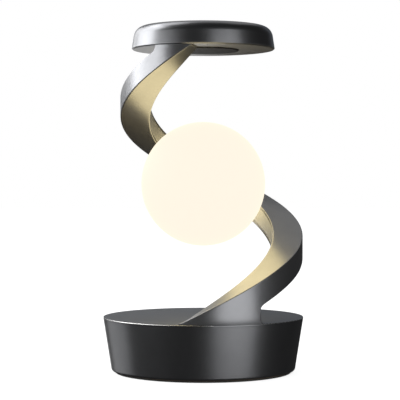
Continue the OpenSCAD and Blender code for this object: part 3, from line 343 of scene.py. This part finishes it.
def mix(p, q, share):
    """Places a share of the way from p to q."""
    return p + (q - p) * share


def rebate_levels(t):
    """Upper and lower edge of the strip's rebate at an angle."""
    up = np.minimum(arm_z(t) + arm_height(t) / 2, HEAD_Z) - STRIP_EDGE
    return up, arm_z(t) - arm_height(t) / 2 + STRIP_EDGE


outer_up = places((foot[FREE], top_edge(foot[FREE])), (run, top_edge(run)), (tip[CUT], tip[CUT_Z]))
inner_up = places((foot[FREE], top_edge(foot[FREE], INNER_UP)), (run, top_edge(run, INNER_UP)),
                  (tip[CUT], tip[CUT_Z] + INNER_UP * tip[DONE]))
outer_low = places((foot[CUT], foot[CUT_Z]), (run, low_edge(run)), (tip[FREE], low_edge(tip[FREE])))
inner_low = places((foot[CUT], foot[CUT_Z] - INNER_DOWN * foot[DONE]), (run, low_edge(run, INNER_DOWN)),
                   (tip[FREE], low_edge(tip[FREE], INNER_DOWN)))
upright = np.concatenate([foot[FREE], run, tip[FREE]])
first, last = np.searchsorted(upright, [STRIP_FROM, STRIP_TO])
ring = np.arange(len(upright))[:, None]
in_foot, in_tip = ring < foot.shape[1], ring >= len(ring) - tip.shape[1]
in_strip = (ring >= first) & (ring <= last)
bend = places((foot[BENT], foot[BENT_Z]), (run, arm_z(run)), (tip[BENT], tip[BENT_Z]))

# The outer face: bends of the two ends, elsewhere places a third of the way along it
outer_low_bend = np.where(in_foot, bend, mix(outer_low, outer_up, THIRD))
outer_up_bend = np.where(in_tip, bend, mix(outer_up, outer_low_bend, THIRD))
# The inner face: edges of the rebate, and the bends beside them
high, low = np.where(in_tip, bend, inner_up), np.where(in_foot, bend, inner_low)
rebate_up, rebate_low = (np.stack([upright, level], axis=-1) for level in rebate_levels(upright))
rebate_up = np.where(in_strip, rebate_up, mix(high, low, PLAIN_SHARE))
rebate_low = np.where(in_strip, rebate_low, mix(low, high, PLAIN_SHARE))
inner_up_bend = np.where(in_tip, bend, mix(inner_up, rebate_up, BEND_SHARE))
inner_low_bend = np.where(in_foot, bend, mix(inner_low, rebate_low, BEND_SHARE))
print("rebate from ring", first, "to", last, "of", len(ring))

# %% [markdown]
# The corners now become rings. On the lamp the foot flares a little where it meets the base, as a casting
# does to spread its load: just above the base the outer face draws in, and the light on it fades
# downwards. A separate fillet would need a joint line, so the flare is part of the same formula that puts
# the rings in their place. So is the tail, which turns in as it runs out and leaves a line of the rim free.

# %% Flare and tail of the arm
WAIST = 1.6
WAIST_H = 8
T_WAIST_END = -15
TAIL_INSET = 1.5
T_TAIL = -60


def waist(depth, angle, level):
    """How far the outer face draws in above the base, so that the foot flares: WAIST (1 - (1 - u)^2), with u
    the height over WAIST_H, up to 1. It fades out along the arm with f^2 (3 - 2 f), and towards the inner
    face evenly."""
    u = np.clip((level - BASE_H) / WAIST_H, 0, 1)
    f = np.clip((T_WAIST_END - angle) / (T_WAIST_END - T_FOOT), 0, 1)
    return WAIST * (1 - (1 - u) ** 2) * f ** 2 * (3 - 2 * f) * (1 - depth / ARM_W)


def tail_inset(angle):
    """How far the tail turns in from the rim: TAIL_INSET u^2, with u from 0 at T_TAIL to 1 at the end."""
    u = np.clip((T_TAIL - angle) / (T_TAIL - T_START), 0, 1)
    return TAIL_INSET * u ** 2


def to_space(depth, angle, level):
    """Points x, y, z under the arm's outer face: radius = arm_radius(angle) - depth - waist - tail_inset."""
    radius = arm_radius(angle) - depth - waist(depth, angle, level) - tail_inset(angle)
    a = np.radians(angle)
    return np.stack([radius * np.cos(a), radius * np.sin(a), level], axis=-1)


print(f"the foot draws in by {waist(0, T_FOOT, BASE_H + WAIST_H):.1f} mm, its tail by {TAIL_INSET:.1f} mm")

# %% Skin of the arm
STRIP_T = 1.8
ARM_ROUND = 0.8
REBATE_ROUND = 0.12
MEAN_RADIUS = 55
WAIST_SHARES = (0.1, 0.2, 0.35, 0.5, 0.75)


def rounded_section(corners, fillets):
    """Grid of rings from corners, pairs of a depth and its places. The corners are rounded in a space where
    the angle counts as length along the arm, and then bent back."""
    points = np.stack([np.insert(place_at, 0, depth, axis=-1) for depth, place_at in corners], axis=1)
    stretch = np.array([1, np.radians(1) * MEAN_RADIUS, 1])
    soft = soften(points * stretch, fillets) / stretch
    return to_space(soft[..., 0], soft[..., 1], soft[..., 2])


def section(sunk):
    """All rings of the arm with their rebate sunk to a depth: outer face up, then inner face down."""
    floor = ARM_W - sunk
    flare = [(0, mix(outer_low_bend, outer_up_bend, share)) for share in WAIST_SHARES]
    outer = [(0, outer_low), (0, outer_low_bend), *flare, (0, outer_up_bend), (0, outer_up)]
    inner = [(ARM_W, inner_up), (ARM_W, inner_up_bend), (ARM_W, rebate_up), (floor, rebate_up),
             (floor, rebate_low), (ARM_W, rebate_low), (ARM_W, inner_low_bend), (ARM_W, inner_low)]
    outer_fillets = [ARM_ROUND] + [0] * (len(outer) - 2) + [ARM_ROUND]
    inner_fillets = [ARM_ROUND, 0] + [REBATE_ROUND] * 4 + [0, ARM_ROUND]
    return rounded_section(outer + inner, outer_fillets + inner_fillets)


closed, open_rings = section(0.0), section(STRIP_T)
arm_grid = np.concatenate([closed[:first + 1], open_rings[first:last + 1], closed[last:]])
place("arm", skin("arm", close_ends(arm_grid)), "lamp_body", "dark_shell", "arm_shell")

# %% [markdown]
# The strip itself is a thin band of the same metal. A flat band bent with a Curve modifier would twist at
# the ends, so it is carried along the same path as the arm, a tenth of a millimetre clear of its rebate
# all round. That leaves the fine joint that a pressed-in cover shows.

# %% Strip on the inner face of the arm
STRIP_GAP = 0.1
STRIP_ROUND = 0.15
STRIP_END = 0.2
strip_angles = upright[first:last + 1].copy()
strip_angles[0] += STRIP_END
strip_angles[-1] -= STRIP_END
strip_up, strip_low = rebate_levels(strip_angles)
upper_side = np.stack([strip_angles, strip_up - STRIP_GAP], axis=-1)
lower_side = np.stack([strip_angles, strip_low + STRIP_GAP], axis=-1)
back = ARM_W - STRIP_T + STRIP_GAP
strip_grid = rounded_section(
    [(back, lower_side), (back, upper_side), (ARM_W, upper_side), (ARM_W, lower_side)], [STRIP_ROUND] * 4)
place("arm_strip", skin("arm_strip", close_ends(strip_grid)), "lamp_body", "dark_shell", "arm_cover")

# %% [markdown]
# ## Turned skins
# Lid, head cap and ball are round about the upright axis, so each is one profile turned on a lathe. A
# cylinder with a Bevel modifier would do for the lid's edge, but not for the lip that centres it on the
# bowl. The lid's rim is rounded, and after anodising it is cut bright. Its faces are marked here, so that
# they can wear a finish of their own. Below the foot of the arm the rim keeps the dark anodised finish:
# this stretch is painted shade for the shadow that the foot casts on the rim.

# %% Lid of the base
LID_T = 3
LID_WALL = 2.8
LID_ROUND, SEAM_ROUND, LIP_ROUND = 0.5, 0.15, 0.1
LIP_H, LIP_T, LIP_GAP = 1.5, 2, 0.2
# Angle where the painted shade on the rim below the arm's foot begins
PAINTED_SHADE_FROM = -85
RIM_W = 0.6
FLAT_H = 0.01


def side_radius(z):
    """Radius of the leaning side of the base at a level."""
    lean = (BASE_D_TOP - BASE_D_BOTTOM) / 2 / (BASE_H - FOOT_H)
    return BASE_D_BOTTOM / 2 + lean * (z - FOOT_H)


lip_z = BASE_H - LID_T - LIP_H
lip_r = side_radius(lip_z) - LID_WALL - LIP_GAP
lid_edge = soften(np.array([[0, BASE_H], [side_radius(BASE_H), BASE_H], [side_radius(SEAM_Z), SEAM_Z],
                            [lip_r, SEAM_Z], [lip_r, lip_z], [lip_r - LIP_T, lip_z],
                            [lip_r - LIP_T, BASE_H - LID_T], [0, BASE_H - LID_T]]),
                  [0, LID_ROUND, SEAM_ROUND, *[LIP_ROUND] * 4, 0])
lid = place("base_lid", skin("base_lid", lathe(lid_edge)), "lamp_body", "dark_shell", "top_plate")
centres = np.empty(3 * len(lid.data.polygons))
lid.data.polygons.foreach_get("center", centres)
x, y, z = centres.reshape(-1, 3).T / MM
on_rim = np.hypot(x, y) > side_radius(BASE_H) - RIM_W
on_round = (z > BASE_H - LID_ROUND) & (z < BASE_H - FLAT_H)
angle = np.degrees(np.arctan2(y, x))
# Below the foot the rim keeps the dark finish: painted shade for the shadow the foot casts there
painted_shade_under_foot = (angle > PAINTED_SHADE_FROM) & (angle < T_FOOT)
on_bevel = on_rim & on_round & ~painted_shade_under_foot
print(on_bevel.sum(), "faces on the bright rim")

# %% [markdown]
# The cap of the head is a spun dish: a flat top, a round shoulder and a side that leans out towards its
# rim. Shoulder and side must meet without a kink, because satin metal shows a kink as a hard line. So the
# lean follows from the shoulder: the side is the line from the rim that just touches the shoulder's
# circle.

# %% Cap of the head
CAP_WALL = 2.4
CAP_LEAN = 1.1
CAP_ROUND = 7.8
SHOULDER_STEPS = 48
shoulder = (HEAD_D / 2 - CAP_LEAN - CAP_ROUND, LAMP_H - CAP_ROUND)
from_middle = np.array([HEAD_D / 2, RIM_Z]) - shoulder
side_lean = math.atan2(from_middle[1], from_middle[0]) + math.acos(CAP_ROUND / np.hypot(*from_middle))
lean_degrees = math.degrees(side_lean)
cap_profile = np.concatenate([
    [[0, LAMP_H]], arc(shoulder, CAP_ROUND, 90, lean_degrees, SHOULDER_STEPS),
    [[HEAD_D / 2, RIM_Z], [HEAD_D / 2 - CAP_WALL, RIM_Z]],
    arc(shoulder, CAP_ROUND - CAP_WALL, lean_degrees, 90), [[0, LAMP_H - CAP_WALL]]])
place("head_shell", skin("head_shell", lathe(cap_profile)), "lamp_body", "dark_shell", "head_cap")
print(f"the head's side leans by {lean_degrees:.1f} degrees")

# %% [markdown]
# The floor of the head has screw holes that a turned profile would lose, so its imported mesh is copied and
# joined up. Only its rim changes: the points there move out until the rim carries on the lean of the cap.
# The solid's stored shading no longer fits the moved rim and is dropped.

# %% Floor of the head
RIM_ZONE = 0.1
work = bmesh.new()
work.from_mesh(solids["head_floor"].data)
bmesh.ops.remove_doubles(work, verts=work.verts, dist=MERGE)
floor_mesh = bpy.data.meshes.new("head_base")
work.to_mesh(floor_mesh)
work.free()
floor_mesh.attributes.remove(floor_mesh.attributes["custom_normal"])
points = np.empty(3 * len(floor_mesh.vertices))
floor_mesh.vertices.foreach_get("co", points)
points = points.reshape(-1, 3)
radius = np.hypot(points[:, 0], points[:, 1])
on_rim = radius > (HEAD_D / 2 - RIM_ZONE) * MM
grown = 1 + (RIM_Z * MM - points[:, 2]) * math.tan(side_lean) / radius
points[:, :2] *= np.where(on_rim, grown, 1)[:, None]
floor_mesh.vertices.foreach_set("co", points.ravel())
floor_mesh.update()
floor_mesh.polygons.foreach_set("use_smooth", np.ones(len(floor_mesh.polygons), bool))
floor_mesh.set_sharp_from_angle(angle=SHARP)
place("head_base", floor_mesh, "lamp_body", "dark_shell", "head_floor")
print(on_rim.sum(), "points on the rim of the head's floor")

# %% [markdown]
# The ball is moulded in two halves that meet in a lap joint at the middle. A UV sphere would show the same
# outline, but it has no wall and no joint. So each half is a profile of its wall, turned like the lid, and
# the upper one carries the lip that slides into the lower one.

# %% Two halves of the ball
BALL_WALL = 2
LAP_H = 3
LIP_WALL = 1.8
LAP_GAP = 0.2
OUTSIDE_STEPS, INSIDE_STEPS = 96, 64
ball_r = BALL_D / 2
inside_r = ball_r - BALL_WALL
lap_r = math.sqrt(inside_r ** 2 - LAP_H ** 2) - LAP_GAP
lift = np.array([0, BALL_Z])
upper = np.concatenate([
    arc((0, 0), ball_r, 90, 0, OUTSIDE_STEPS),
    [[lap_r, 0], [lap_r, -LAP_H], [lap_r - LIP_WALL, -LAP_H], [lap_r - LIP_WALL, LAP_H]],
    arc((0, 0), inside_r, math.degrees(math.asin(LAP_H / inside_r)), 90, INSIDE_STEPS)]) + lift
lower = np.concatenate([
    arc((0, 0), ball_r, -90, 0, OUTSIDE_STEPS),
    arc((0, 0), inside_r, 0, -90, INSIDE_STEPS)]) + lift
# The poles lie exactly on the axis, so that their points merge
upper[[0, -1], 0] = 0
lower[[0, -1], 0] = 0
place("ball_top", skin("ball_top", lathe(upper)), "ball", "ball_diffuser", "ball_upper_shell")
place("ball_bottom", skin("ball_bottom", lathe(lower)), "ball", "ball_diffuser", "ball_lower_shell")

# %% [markdown]
# ## Helpers for finishes
# A finish is a small graph of nodes. Colours are picked as the eye sees them, in sRGB, and Blender counts
# light linearly, so one function converts them. One more function adds a node with its settings and
# links, so that a graph reads from top to bottom like a recipe.

# %% Colours and nodes
def linear(code):
    """Linear colour of an sRGB hex code: ((c + 0.055) / 1.055) ^ 2.4, or c / 12.92 in the darkest tones."""
    c = np.array([int(code[i:i + 2], 16) for i in (1, 3, 5)]) / 255
    return (*np.where(c > 0.04045, ((c + 0.055) / 1.055) ** 2.4, c / 12.92).tolist(), 1.0)


def add(tree, kind, sockets, **settings):
    """Add one node. Settings are its own options; a socket takes a plain value or another node's output."""
    node = tree.nodes.new(kind)
    for name, value in settings.items():
        setattr(node, name, value)
    for name, value in sockets.items():
        if isinstance(value, bpy.types.NodeSocket):
            tree.links.new(value, node.inputs[name])
        else:
            node.inputs[name].default_value = value
    return node


def new_finish(name, plain):
    """New material with plain values on its shader: it, its tree, the shader and Object coordinates."""
    material = bpy.data.materials.new(name)
    material.use_nodes = True
    shader = material.node_tree.nodes["Principled BSDF"]
    for socket, value in plain.items():
        shader.inputs[socket].default_value = value
    coordinates = add(material.node_tree, "ShaderNodeTexCoord", {})
    return material, material.node_tree, shader, coordinates.outputs["Object"]


def per_mm(size):
    """Noise scale for features of a size in millimetres."""
    return 1 / (size * MM)


def lines_per_mm(period):
    """Wave scale for lines that repeat after a period in millimetres: the wave's own period is 2 pi / 20."""
    return 2 * math.pi / 20 / (period * MM)


print("linear mid grey:", round(linear("#808080")[0], 3))

# %% [markdown]
# Many small parts have a surface that differs only in colour, gloss and grain: moulded plastic, rubber,
# sintered ferrite, plated steel. One recipe serves them. A cloud pattern a few millimetres wide shifts
# the colour a little, as pigment and plating do, and a fine grain lifts the surface and varies its gloss.

# %% One recipe for grained finishes
# Nearly all values of a noise lie between these two
NOISE_LOW, NOISE_HIGH = 0.3, 0.7


def grained(name, dark, light, rough, grain, lift, cloud=6.0, plain=None):
    """Finish with colour between two codes by clouds, roughness between two values by grain, and grain as
    bump. Grain, lift and cloud are sizes in millimetres."""
    material, tree, shader, place_at = new_finish(name, plain or {})
    clouds = add(tree, "ShaderNodeTexNoise", {"Vector": place_at, "Scale": per_mm(cloud), "Detail": 3})
    colour = add(tree, "ShaderNodeValToRGB", {"Fac": clouds.outputs["Fac"]})
    colour.color_ramp.elements[0].color = linear(dark)
    colour.color_ramp.elements[1].color = linear(light)
    colour.color_ramp.elements[0].position = NOISE_LOW
    colour.color_ramp.elements[1].position = NOISE_HIGH
    fine = add(tree, "ShaderNodeTexNoise", {"Vector": place_at, "Scale": per_mm(grain), "Detail": 2})
    gloss = add(tree, "ShaderNodeMapRange", {
        "Value": fine.outputs["Fac"], "From Min": NOISE_LOW, "From Max": NOISE_HIGH,
        "To Min": rough[0], "To Max": rough[1]})
    bump = add(tree, "ShaderNodeBump", {"Height": fine.outputs["Fac"], "Distance": lift * MM})
    tree.links.new(colour.outputs["Color"], shader.inputs["Base Color"])
    tree.links.new(gloss.outputs["Result"], shader.inputs["Roughness"])
    tree.links.new(bump.outputs["Normal"], shader.inputs["Normal"])
    return material


def wear(material, *names):
    """Give a material to solids or pieces by name."""
    for name in names:
        piece = bpy.data.objects[name]
        piece.data.materials.clear()
        piece.data.materials.append(material)
    print(f"{material.name}:", ", ".join(names))


# %% [markdown]
# ## The satin metal
# Base, arm and head are cast aluminium, blasted with fine glass beads and anodised dark grey. Blasting
# leaves pits of a tenth of a millimetre that spread every reflection into a soft gradient, and anodising
# adds the grey. The pits are far finer than a pixel here, so they are drawn four times as wide and stay
# barely visible. The arm and the floor of the head also have a matt clear lacquer. Its haze takes up the
# warm light of the ball over a whole face, where bare metal would show the ball in one spot only. The
# strip is blasted with coarser beads, so the ball's image melts into a wide, pale glow on it.

# %% Anodised aluminium
METAL = {"Metallic": 1.0}
LACQUER = {"Metallic": 1.0, "Coat Weight": 1.0, "Coat Roughness": 0.75, "Coat IOR": 1.6}
BLASTED = {"grain": 0.4, "lift": 0.006, "cloud": 14.0}
# Aluminium, bead blasted and anodised: dark grey, soft gradients
wear(grained("anodised_aluminium_blasted", "#8f9093", "#959699", (0.28, 0.34), plain=METAL, **BLASTED),
     "base_lid", "head_shell", "base_bowl")
# Aluminium, cut with a diamond after anodising: bare metal, bright, with a faint haze
bright_cut = grained("aluminium_bright_cut", "#dcdcda", "#e4e4e2", (0.24, 0.3), grain=0.4, lift=0.002,
                     plain=METAL)
lid.data.materials.append(bright_cut)
lid.data.polygons.foreach_set("material_index", on_bevel.astype(np.int32))
# The anodised metal under matt lacquer: a hazy second sheen over the first
wear(grained("anodised_aluminium_lacquered", "#8a8b8e", "#909194", (0.3, 0.36), plain=LACQUER, **BLASTED),
     "arm", "head_base")
# Coarser beads under the same lacquer: duller and paler, with no clear image left in it
coarse = grained("anodised_aluminium_coarse_blasted", "#acadaf", "#b2b3b5", (0.5, 0.56), plain=LACQUER,
                 **BLASTED)
wear(coarse, "arm_strip")

# %% [markdown]
# ## The lit ball
# The ball is moulded opal plastic over a ring of warm LEDs. Scattering inside the wall evens the light
# out until no source can be seen, so the whole ball has one tone. Real volume scattering would need many
# samples to show the same flat tone. The wall therefore glows by itself, and its own reflecting colour
# stays low.

# %% Opal plastic
# Polycarbonate with white pigment, moulded: dull, and lit from inside in a warm white
opal = grained("opal_polycarbonate_moulded", "#1b1814", "#1f1c17", (0.6, 0.75), grain=0.5, lift=0.004,
               plain={"Specular IOR Level": 0.1, "Emission Color": linear("#fbf2e3"),
                      "Emission Strength": 1.0})
wear(opal, "ball_top", "ball_bottom")

# %% [markdown]
# ## Finishes of the small parts
# Most of these parts sit inside the housing. They are still finished, because the lamp can be taken
# apart, and a part that looks like a plain grey block then says nothing about what it is.

# %% Moulded and plated parts
# Silicone rubber, moulded: matt, nearly black, a soft sheen where it is pressed
wear(grained("silicone_rubber_moulded", "#161616", "#202020", (0.7, 0.85), grain=0.6, lift=0.02),
     "foot_ring")
# Acrylonitrile plastic from a spark-eroded mould: fine pits, dull gloss
wear(grained("abs_spark_eroded", "#242526", "#2c2d2e", (0.42, 0.55), grain=0.35, lift=0.012), "power_button")
# Polycarbonate from an etched mould, smoke tint: nearly black, with a dull sheen at a slant
wear(grained("smoked_polycarbonate_etched", "#0f0f10", "#161617", (0.45, 0.55), grain=3.0, lift=0.002,
             plain={"Specular IOR Level": 0.15}), "pole_window")
# Nylon, moulded: off-white, slightly waxy
wear(grained("nylon_moulded", "#d8d6cd", "#e2e0d8", (0.45, 0.6), grain=0.8, lift=0.01),
     "switch_plunger", "coil_bobbin", "ball_frame", "magnet_post")
# Steel, zinc plated: pale with a bluish and yellowish cloud
zinc = grained("steel_zinc_plated", "#b4b7bc", "#c6c4bb", (0.26, 0.4), grain=0.5, lift=0.003, cloud=1.5,
               plain=METAL)
wear(zinc, "case_screws", "board_screws", "foot_screws", "tip_screws", "head_screws")
# Steel, hot rolled and oiled: brownish grey, uneven scale
rolled = grained("steel_hot_rolled", "#5c5a58", "#74716d", (0.4, 0.6), grain=1.2, lift=0.01, cloud=9.0,
                 plain=METAL)
wear(rolled, "ballast_plate")
# Nickel, electroplated: bright and faintly yellow
wear(grained("nickel_electroplated", "#b9b5ac", "#c6c2ba", (0.14, 0.24), grain=0.6, lift=0.002, plain=METAL),
     "inlet_shell", "bias_magnet", "ball_magnet")
# Brass, turned and left blank: warm, with a slight tarnish
brass = grained("brass_turned", "#b38f45", "#c9a658", (0.22, 0.36), grain=0.3, lift=0.003, cloud=2.0,
                plain=METAL)
wear(brass, "standoffs")
# Ferrite, sintered: charcoal, dry, with fine pores
wear(grained("ferrite_sintered", "#2b2b2c", "#363637", (0.6, 0.8), grain=0.25, lift=0.015),
     "transmitter_ferrite", "receiver_ferrite")
# Epoxy, transfer moulded over chips: black, dusty matt
wear(grained("epoxy_moulded", "#191919", "#222221", (0.5, 0.65), grain=0.2, lift=0.008),
     "board_parts", "push_switch", "hall_sensor", "inlet_tongue")
# Silicone over stranded wire: dull red, soft
wear(grained("silicone_wire_jacket", "#7d2722", "#8e302a", (0.45, 0.6), grain=0.7, lift=0.01), "arm_harness")
# Silicone with phosphor over the chips: yellow, glossy
wear(grained("phosphor_silicone_cast", "#e8cf70", "#f2dd8a", (0.2, 0.3), grain=0.4, lift=0.004), "leds")

# %% [markdown]
# Windings, boards and the turned pole have a direction in their surface, which a cloud can't give. Wave
# and brick patterns draw it. The wave's rings run round the lamp's own axis, so they need no extra
# coordinates.

# %% Enamelled copper wire
WIRE_PITCH = 0.6


def winding(name, **wave):
    """Copper finish with one wave per turn of wire: the wave lifts the surface, and its dark end paints
    shade into the grooves between turns.
    """
    material, tree, shader, place_at = new_finish(name, {"Metallic": 1.0, "Roughness": 0.32})
    turns = add(tree, "ShaderNodeTexWave", {"Vector": place_at, "Scale": lines_per_mm(WIRE_PITCH)}, **wave)
    colour = add(tree, "ShaderNodeValToRGB", {"Fac": turns.outputs["Fac"]})
    # Dark end of the ramp: painted shade in the grooves between turns of wire
    colour.color_ramp.elements[0].color = linear("#4a2412")
    colour.color_ramp.elements[1].color = linear("#b96a35")
    bump = add(tree, "ShaderNodeBump", {"Height": turns.outputs["Fac"], "Distance": WIRE_PITCH / 2 * MM})
    tree.links.new(colour.outputs["Color"], shader.inputs["Base Color"])
    tree.links.new(bump.outputs["Normal"], shader.inputs["Normal"])
    return material


# Copper wire under clear enamel: flat coils show their turns as rings, the tall one as level bands
wear(winding("copper_wire_flat_wound", wave_type="RINGS", rings_direction="Z"),
     "transmitter_coil", "receiver_coil")
wear(winding("copper_wire_layer_wound", wave_type="BANDS", bands_direction="Z"), "coil_winding")

# %% Circuit boards
TRACK_H, TRACK_W = 1.6, 7.0
TRACK_LINE, TRACK_BLUR, TRACK_LIFT = 0.16, 0.3, 0.035


def board(name, mask, track, rough):
    """Solder mask over copper: a brick pattern in millimetres, whose joints are the raised tracks."""
    material, tree, shader, place_at = new_finish(name, {"Roughness": rough})
    tracks = add(tree, "ShaderNodeTexBrick", {
        "Vector": place_at, "Color1": linear(mask), "Color2": linear(mask), "Mortar": linear(track),
        "Scale": 1 / MM, "Mortar Size": TRACK_LINE, "Mortar Smooth": TRACK_BLUR, "Brick Width": TRACK_W,
        "Row Height": TRACK_H})
    bump = add(tree, "ShaderNodeBump", {"Height": tracks.outputs["Fac"], "Distance": TRACK_LIFT * MM})
    tree.links.new(tracks.outputs["Color"], shader.inputs["Base Color"])
    tree.links.new(bump.outputs["Normal"], shader.inputs["Normal"])
    return material


# Epoxy mask over copper tracks, on glass-fibre board: green for the electronics, white round the LEDs
wear(board("solder_mask_green", "#0f3a24", "#1d5a38", 0.35), "control_board", "switch_board", "head_board")
wear(board("solder_mask_white", "#e4e4de", "#d2d2c8", 0.4), "led_boards")

# %% Turned pole of the magnet
# Soft iron from the lathe: one fine groove per turn of the tool, which streaks its shine into rings
TOOL_FEED = 0.3
TOOL_SHAKE = 0.4
IRON = {"Metallic": 1.0, "Base Color": linear("#77797b")}
pole, tree, shader, place_at = new_finish("soft_iron_turned", IRON)
grooves = add(tree, "ShaderNodeTexWave",
              {"Vector": place_at, "Scale": lines_per_mm(TOOL_FEED), "Distortion": TOOL_SHAKE},
              wave_type="RINGS", rings_direction="Z")
gloss = add(tree, "ShaderNodeMapRange", {"Value": grooves.outputs["Fac"], "To Min": 0.25, "To Max": 0.42})
tree.links.new(gloss.outputs["Result"], shader.inputs["Roughness"])
wear(pole, "magnet_core")
shown = [node for node in solids.values() if not node.hide_render]
bare = [node.name for node in shown if not node.data.materials[0].use_nodes]
print("finishes:", len(bpy.data.materials), "solids without nodes:", bare)

# %% [markdown]
# ## Camera
# The lamp is seen from about a metre away, nearly level with the middle of the ball, through a long lens.
# Level and far keeps its upright lines parallel, as product pictures do.

# %% Camera
CAMERA_AT = Vector((0, -0.995, 0.1277))
CAMERA_AIM = Vector((-0.0022, 0, 0.1156))
SENSOR_W = 36
LENS = 132.7
camera = bpy.data.objects.new("photo_camera", bpy.data.cameras.new("photo_camera"))
camera.data.sensor_width = SENSOR_W
camera.data.lens = LENS
camera.location = CAMERA_AT
camera.rotation_euler = (CAMERA_AIM - CAMERA_AT).to_track_quat("-Z", "Y").to_euler()
scene.collection.objects.link(camera)
scene.camera = camera
scene.view_settings.view_transform = "Standard"
print("camera to ball:", round((CAMERA_AT - Vector((0, 0, BALL_Z * MM))).length, 3), "m")

# %% [markdown]
# ## Light
# Satin metal shows nothing but what stands round it, so lighting it means placing bright and dark fields.
# The boxes on the left give the white edge: a high one for shoulder and arm, a long flat one for upright
# sides, a narrow one for the outline's edge and a dim low one for the base. A tall box on the right front
# draws the soft band down the middle. Dim panels above, below and behind lift flat tops and undersides,
# which are seen at a slant and mirror what stands behind the lamp. Between them the room stays dark. A
# box is an area light: its power is the brightness that its mirror image should have, times pi, times its
# area.

# %% Soft boxes
AIM = Vector((0, 0, 0.116))


def soft_box(name, azimuth, elevation, distance, width, height, brightness, colour="#ffffff"):
    """Area light that faces the lamp. Azimuth counts from the camera to its right, elevation from level up:
    position = aim + distance (sin az cos el, -cos az cos el, sin el)."""
    az, el = math.radians(azimuth), math.radians(elevation)
    away = Vector((math.sin(az) * math.cos(el), -math.cos(az) * math.cos(el), math.sin(el)))
    light = bpy.data.lights.new(name, "AREA")
    light.shape = "RECTANGLE"
    light.size, light.size_y = width, height
    light.color = linear(colour)[:3]
    light.energy = brightness * math.pi * width * height
    lamp = bpy.data.objects.new(name, light)
    lamp.location = AIM + distance * away
    lamp.rotation_euler = away.to_track_quat("Z", "Y").to_euler()
    lamp.visible_camera = False
    scene.collection.objects.link(lamp)


# Name, azimuth and elevation in degrees, distance, width and height in metres, brightness, and a colour
# where it isn't white
soft_box("box_left", -112, 31, 1.2, 0.95, 1.0, 3.2)
soft_box("box_left_front", -77, 9, 1.2, 1.52, 0.36, 4.0)
soft_box("box_left_back", -147, 20, 1.2, 0.3, 0.5, 2.0)
soft_box("box_left_low", -121, -18, 1.2, 0.95, 0.3, 0.5)
soft_box("box_right_front", 36.3, 0, 1.2, 1.08, 1.07, 1.6)
soft_box("panel_top", -173, 60, 1.2, 1.3, 0.9, 0.43)
soft_box("panel_top_left", -125, 60, 1.2, 0.6, 0.6, 1.5)
soft_box("panel_desk", 172, -55, 1.2, 0.9, 0.9, 0.1, "#ffdca6")
soft_box("panel_behind", 180, 18, 1.4, 2.0, 0.9, 0.132, "#e6f0ff")
soft_box("panel_behind_left", -170.5, -7, 1.4, 0.49, 0.35, 1.05)

# %% [markdown]
# The wall's own glow ends at white, but the light that the ball sends to the arm is stronger and warmer.
# Raising the glow would only burn the ball out to a flat disc. So a round lamp, a little larger than the
# ball and hidden from the camera, adds what the wall leaves out. Its power is its brightness times four pi
# squared times its radius squared.

# %% Glow of the ball
GLOW = (1.6, 1.25, 0.43)
GLOW_OUTSIDE = 0.6
glow = bpy.data.lights.new("ball_glow", "POINT")
glow.shadow_soft_size = (BALL_D / 2 + GLOW_OUTSIDE) * MM
glow.use_soft_falloff = False
glow.color = np.array(GLOW) / max(GLOW)
glow.energy = max(GLOW) * 4 * math.pi ** 2 * glow.shadow_soft_size ** 2
glow_lamp = bpy.data.objects.new("ball_glow", glow)
glow_lamp.location = (0, 0, BALL_Z * MM)
glow_lamp.visible_camera = False
scene.collection.objects.link(glow_lamp)
print(f"the ball's lamp: {glow.energy:.3f} watts")

# %% [markdown]
# ## Floor and room
# The lamp stands on a pale floor in front of white. A white room would also show in the metal and wash it
# out, so the world is white to the eye and to matt surfaces, and nearly black to reflections. The floor
# lies just below the foot and is as bright as the white behind it.

# %% Floor and world
FLOOR_R = 6000
FLOOR_Z = -0.05
FLOOR_T = 10
FLOOR_COLUMNS = 96
ROOM_GLOSS = 0.03
floor_edge = np.array([[0, FLOOR_Z], [FLOOR_R, FLOOR_Z],
                       [FLOOR_R, FLOOR_Z - FLOOR_T], [0, FLOOR_Z - FLOOR_T]])
floor = bpy.data.objects.new("floor", skin("floor", lathe(floor_edge, FLOOR_COLUMNS)))
scene.collection.objects.link(floor)
floor.visible_glossy = False
floor.visible_shadow = False
# Paper, uncoated: matt white, lit from behind so that it is as bright as the room
wear(grained("white_paper_floor", "#8c8c8c", "#909090", (0.8, 0.9), grain=2.0, lift=0.01,
             plain={"Specular IOR Level": 0.0, "Emission Color": linear("#ffffff"),
                    "Emission Strength": 0.82}), "floor")
world = bpy.data.worlds.new("white_room")
world.use_nodes = True
scene.world = world
tree = world.node_tree
background = tree.nodes["Background"]
path = add(tree, "ShaderNodeLightPath", {})
glossy = path.outputs["Is Glossy Ray"]
tone = add(tree, "ShaderNodeMapRange", {"Value": glossy, "To Min": 1.0, "To Max": ROOM_GLOSS})
background.inputs["Color"].default_value = linear("#ffffff")
tree.links.new(tone.outputs["Result"], background.inputs["Strength"])
print("room:", world.name, "brightness in reflections:", ROOM_GLOSS)
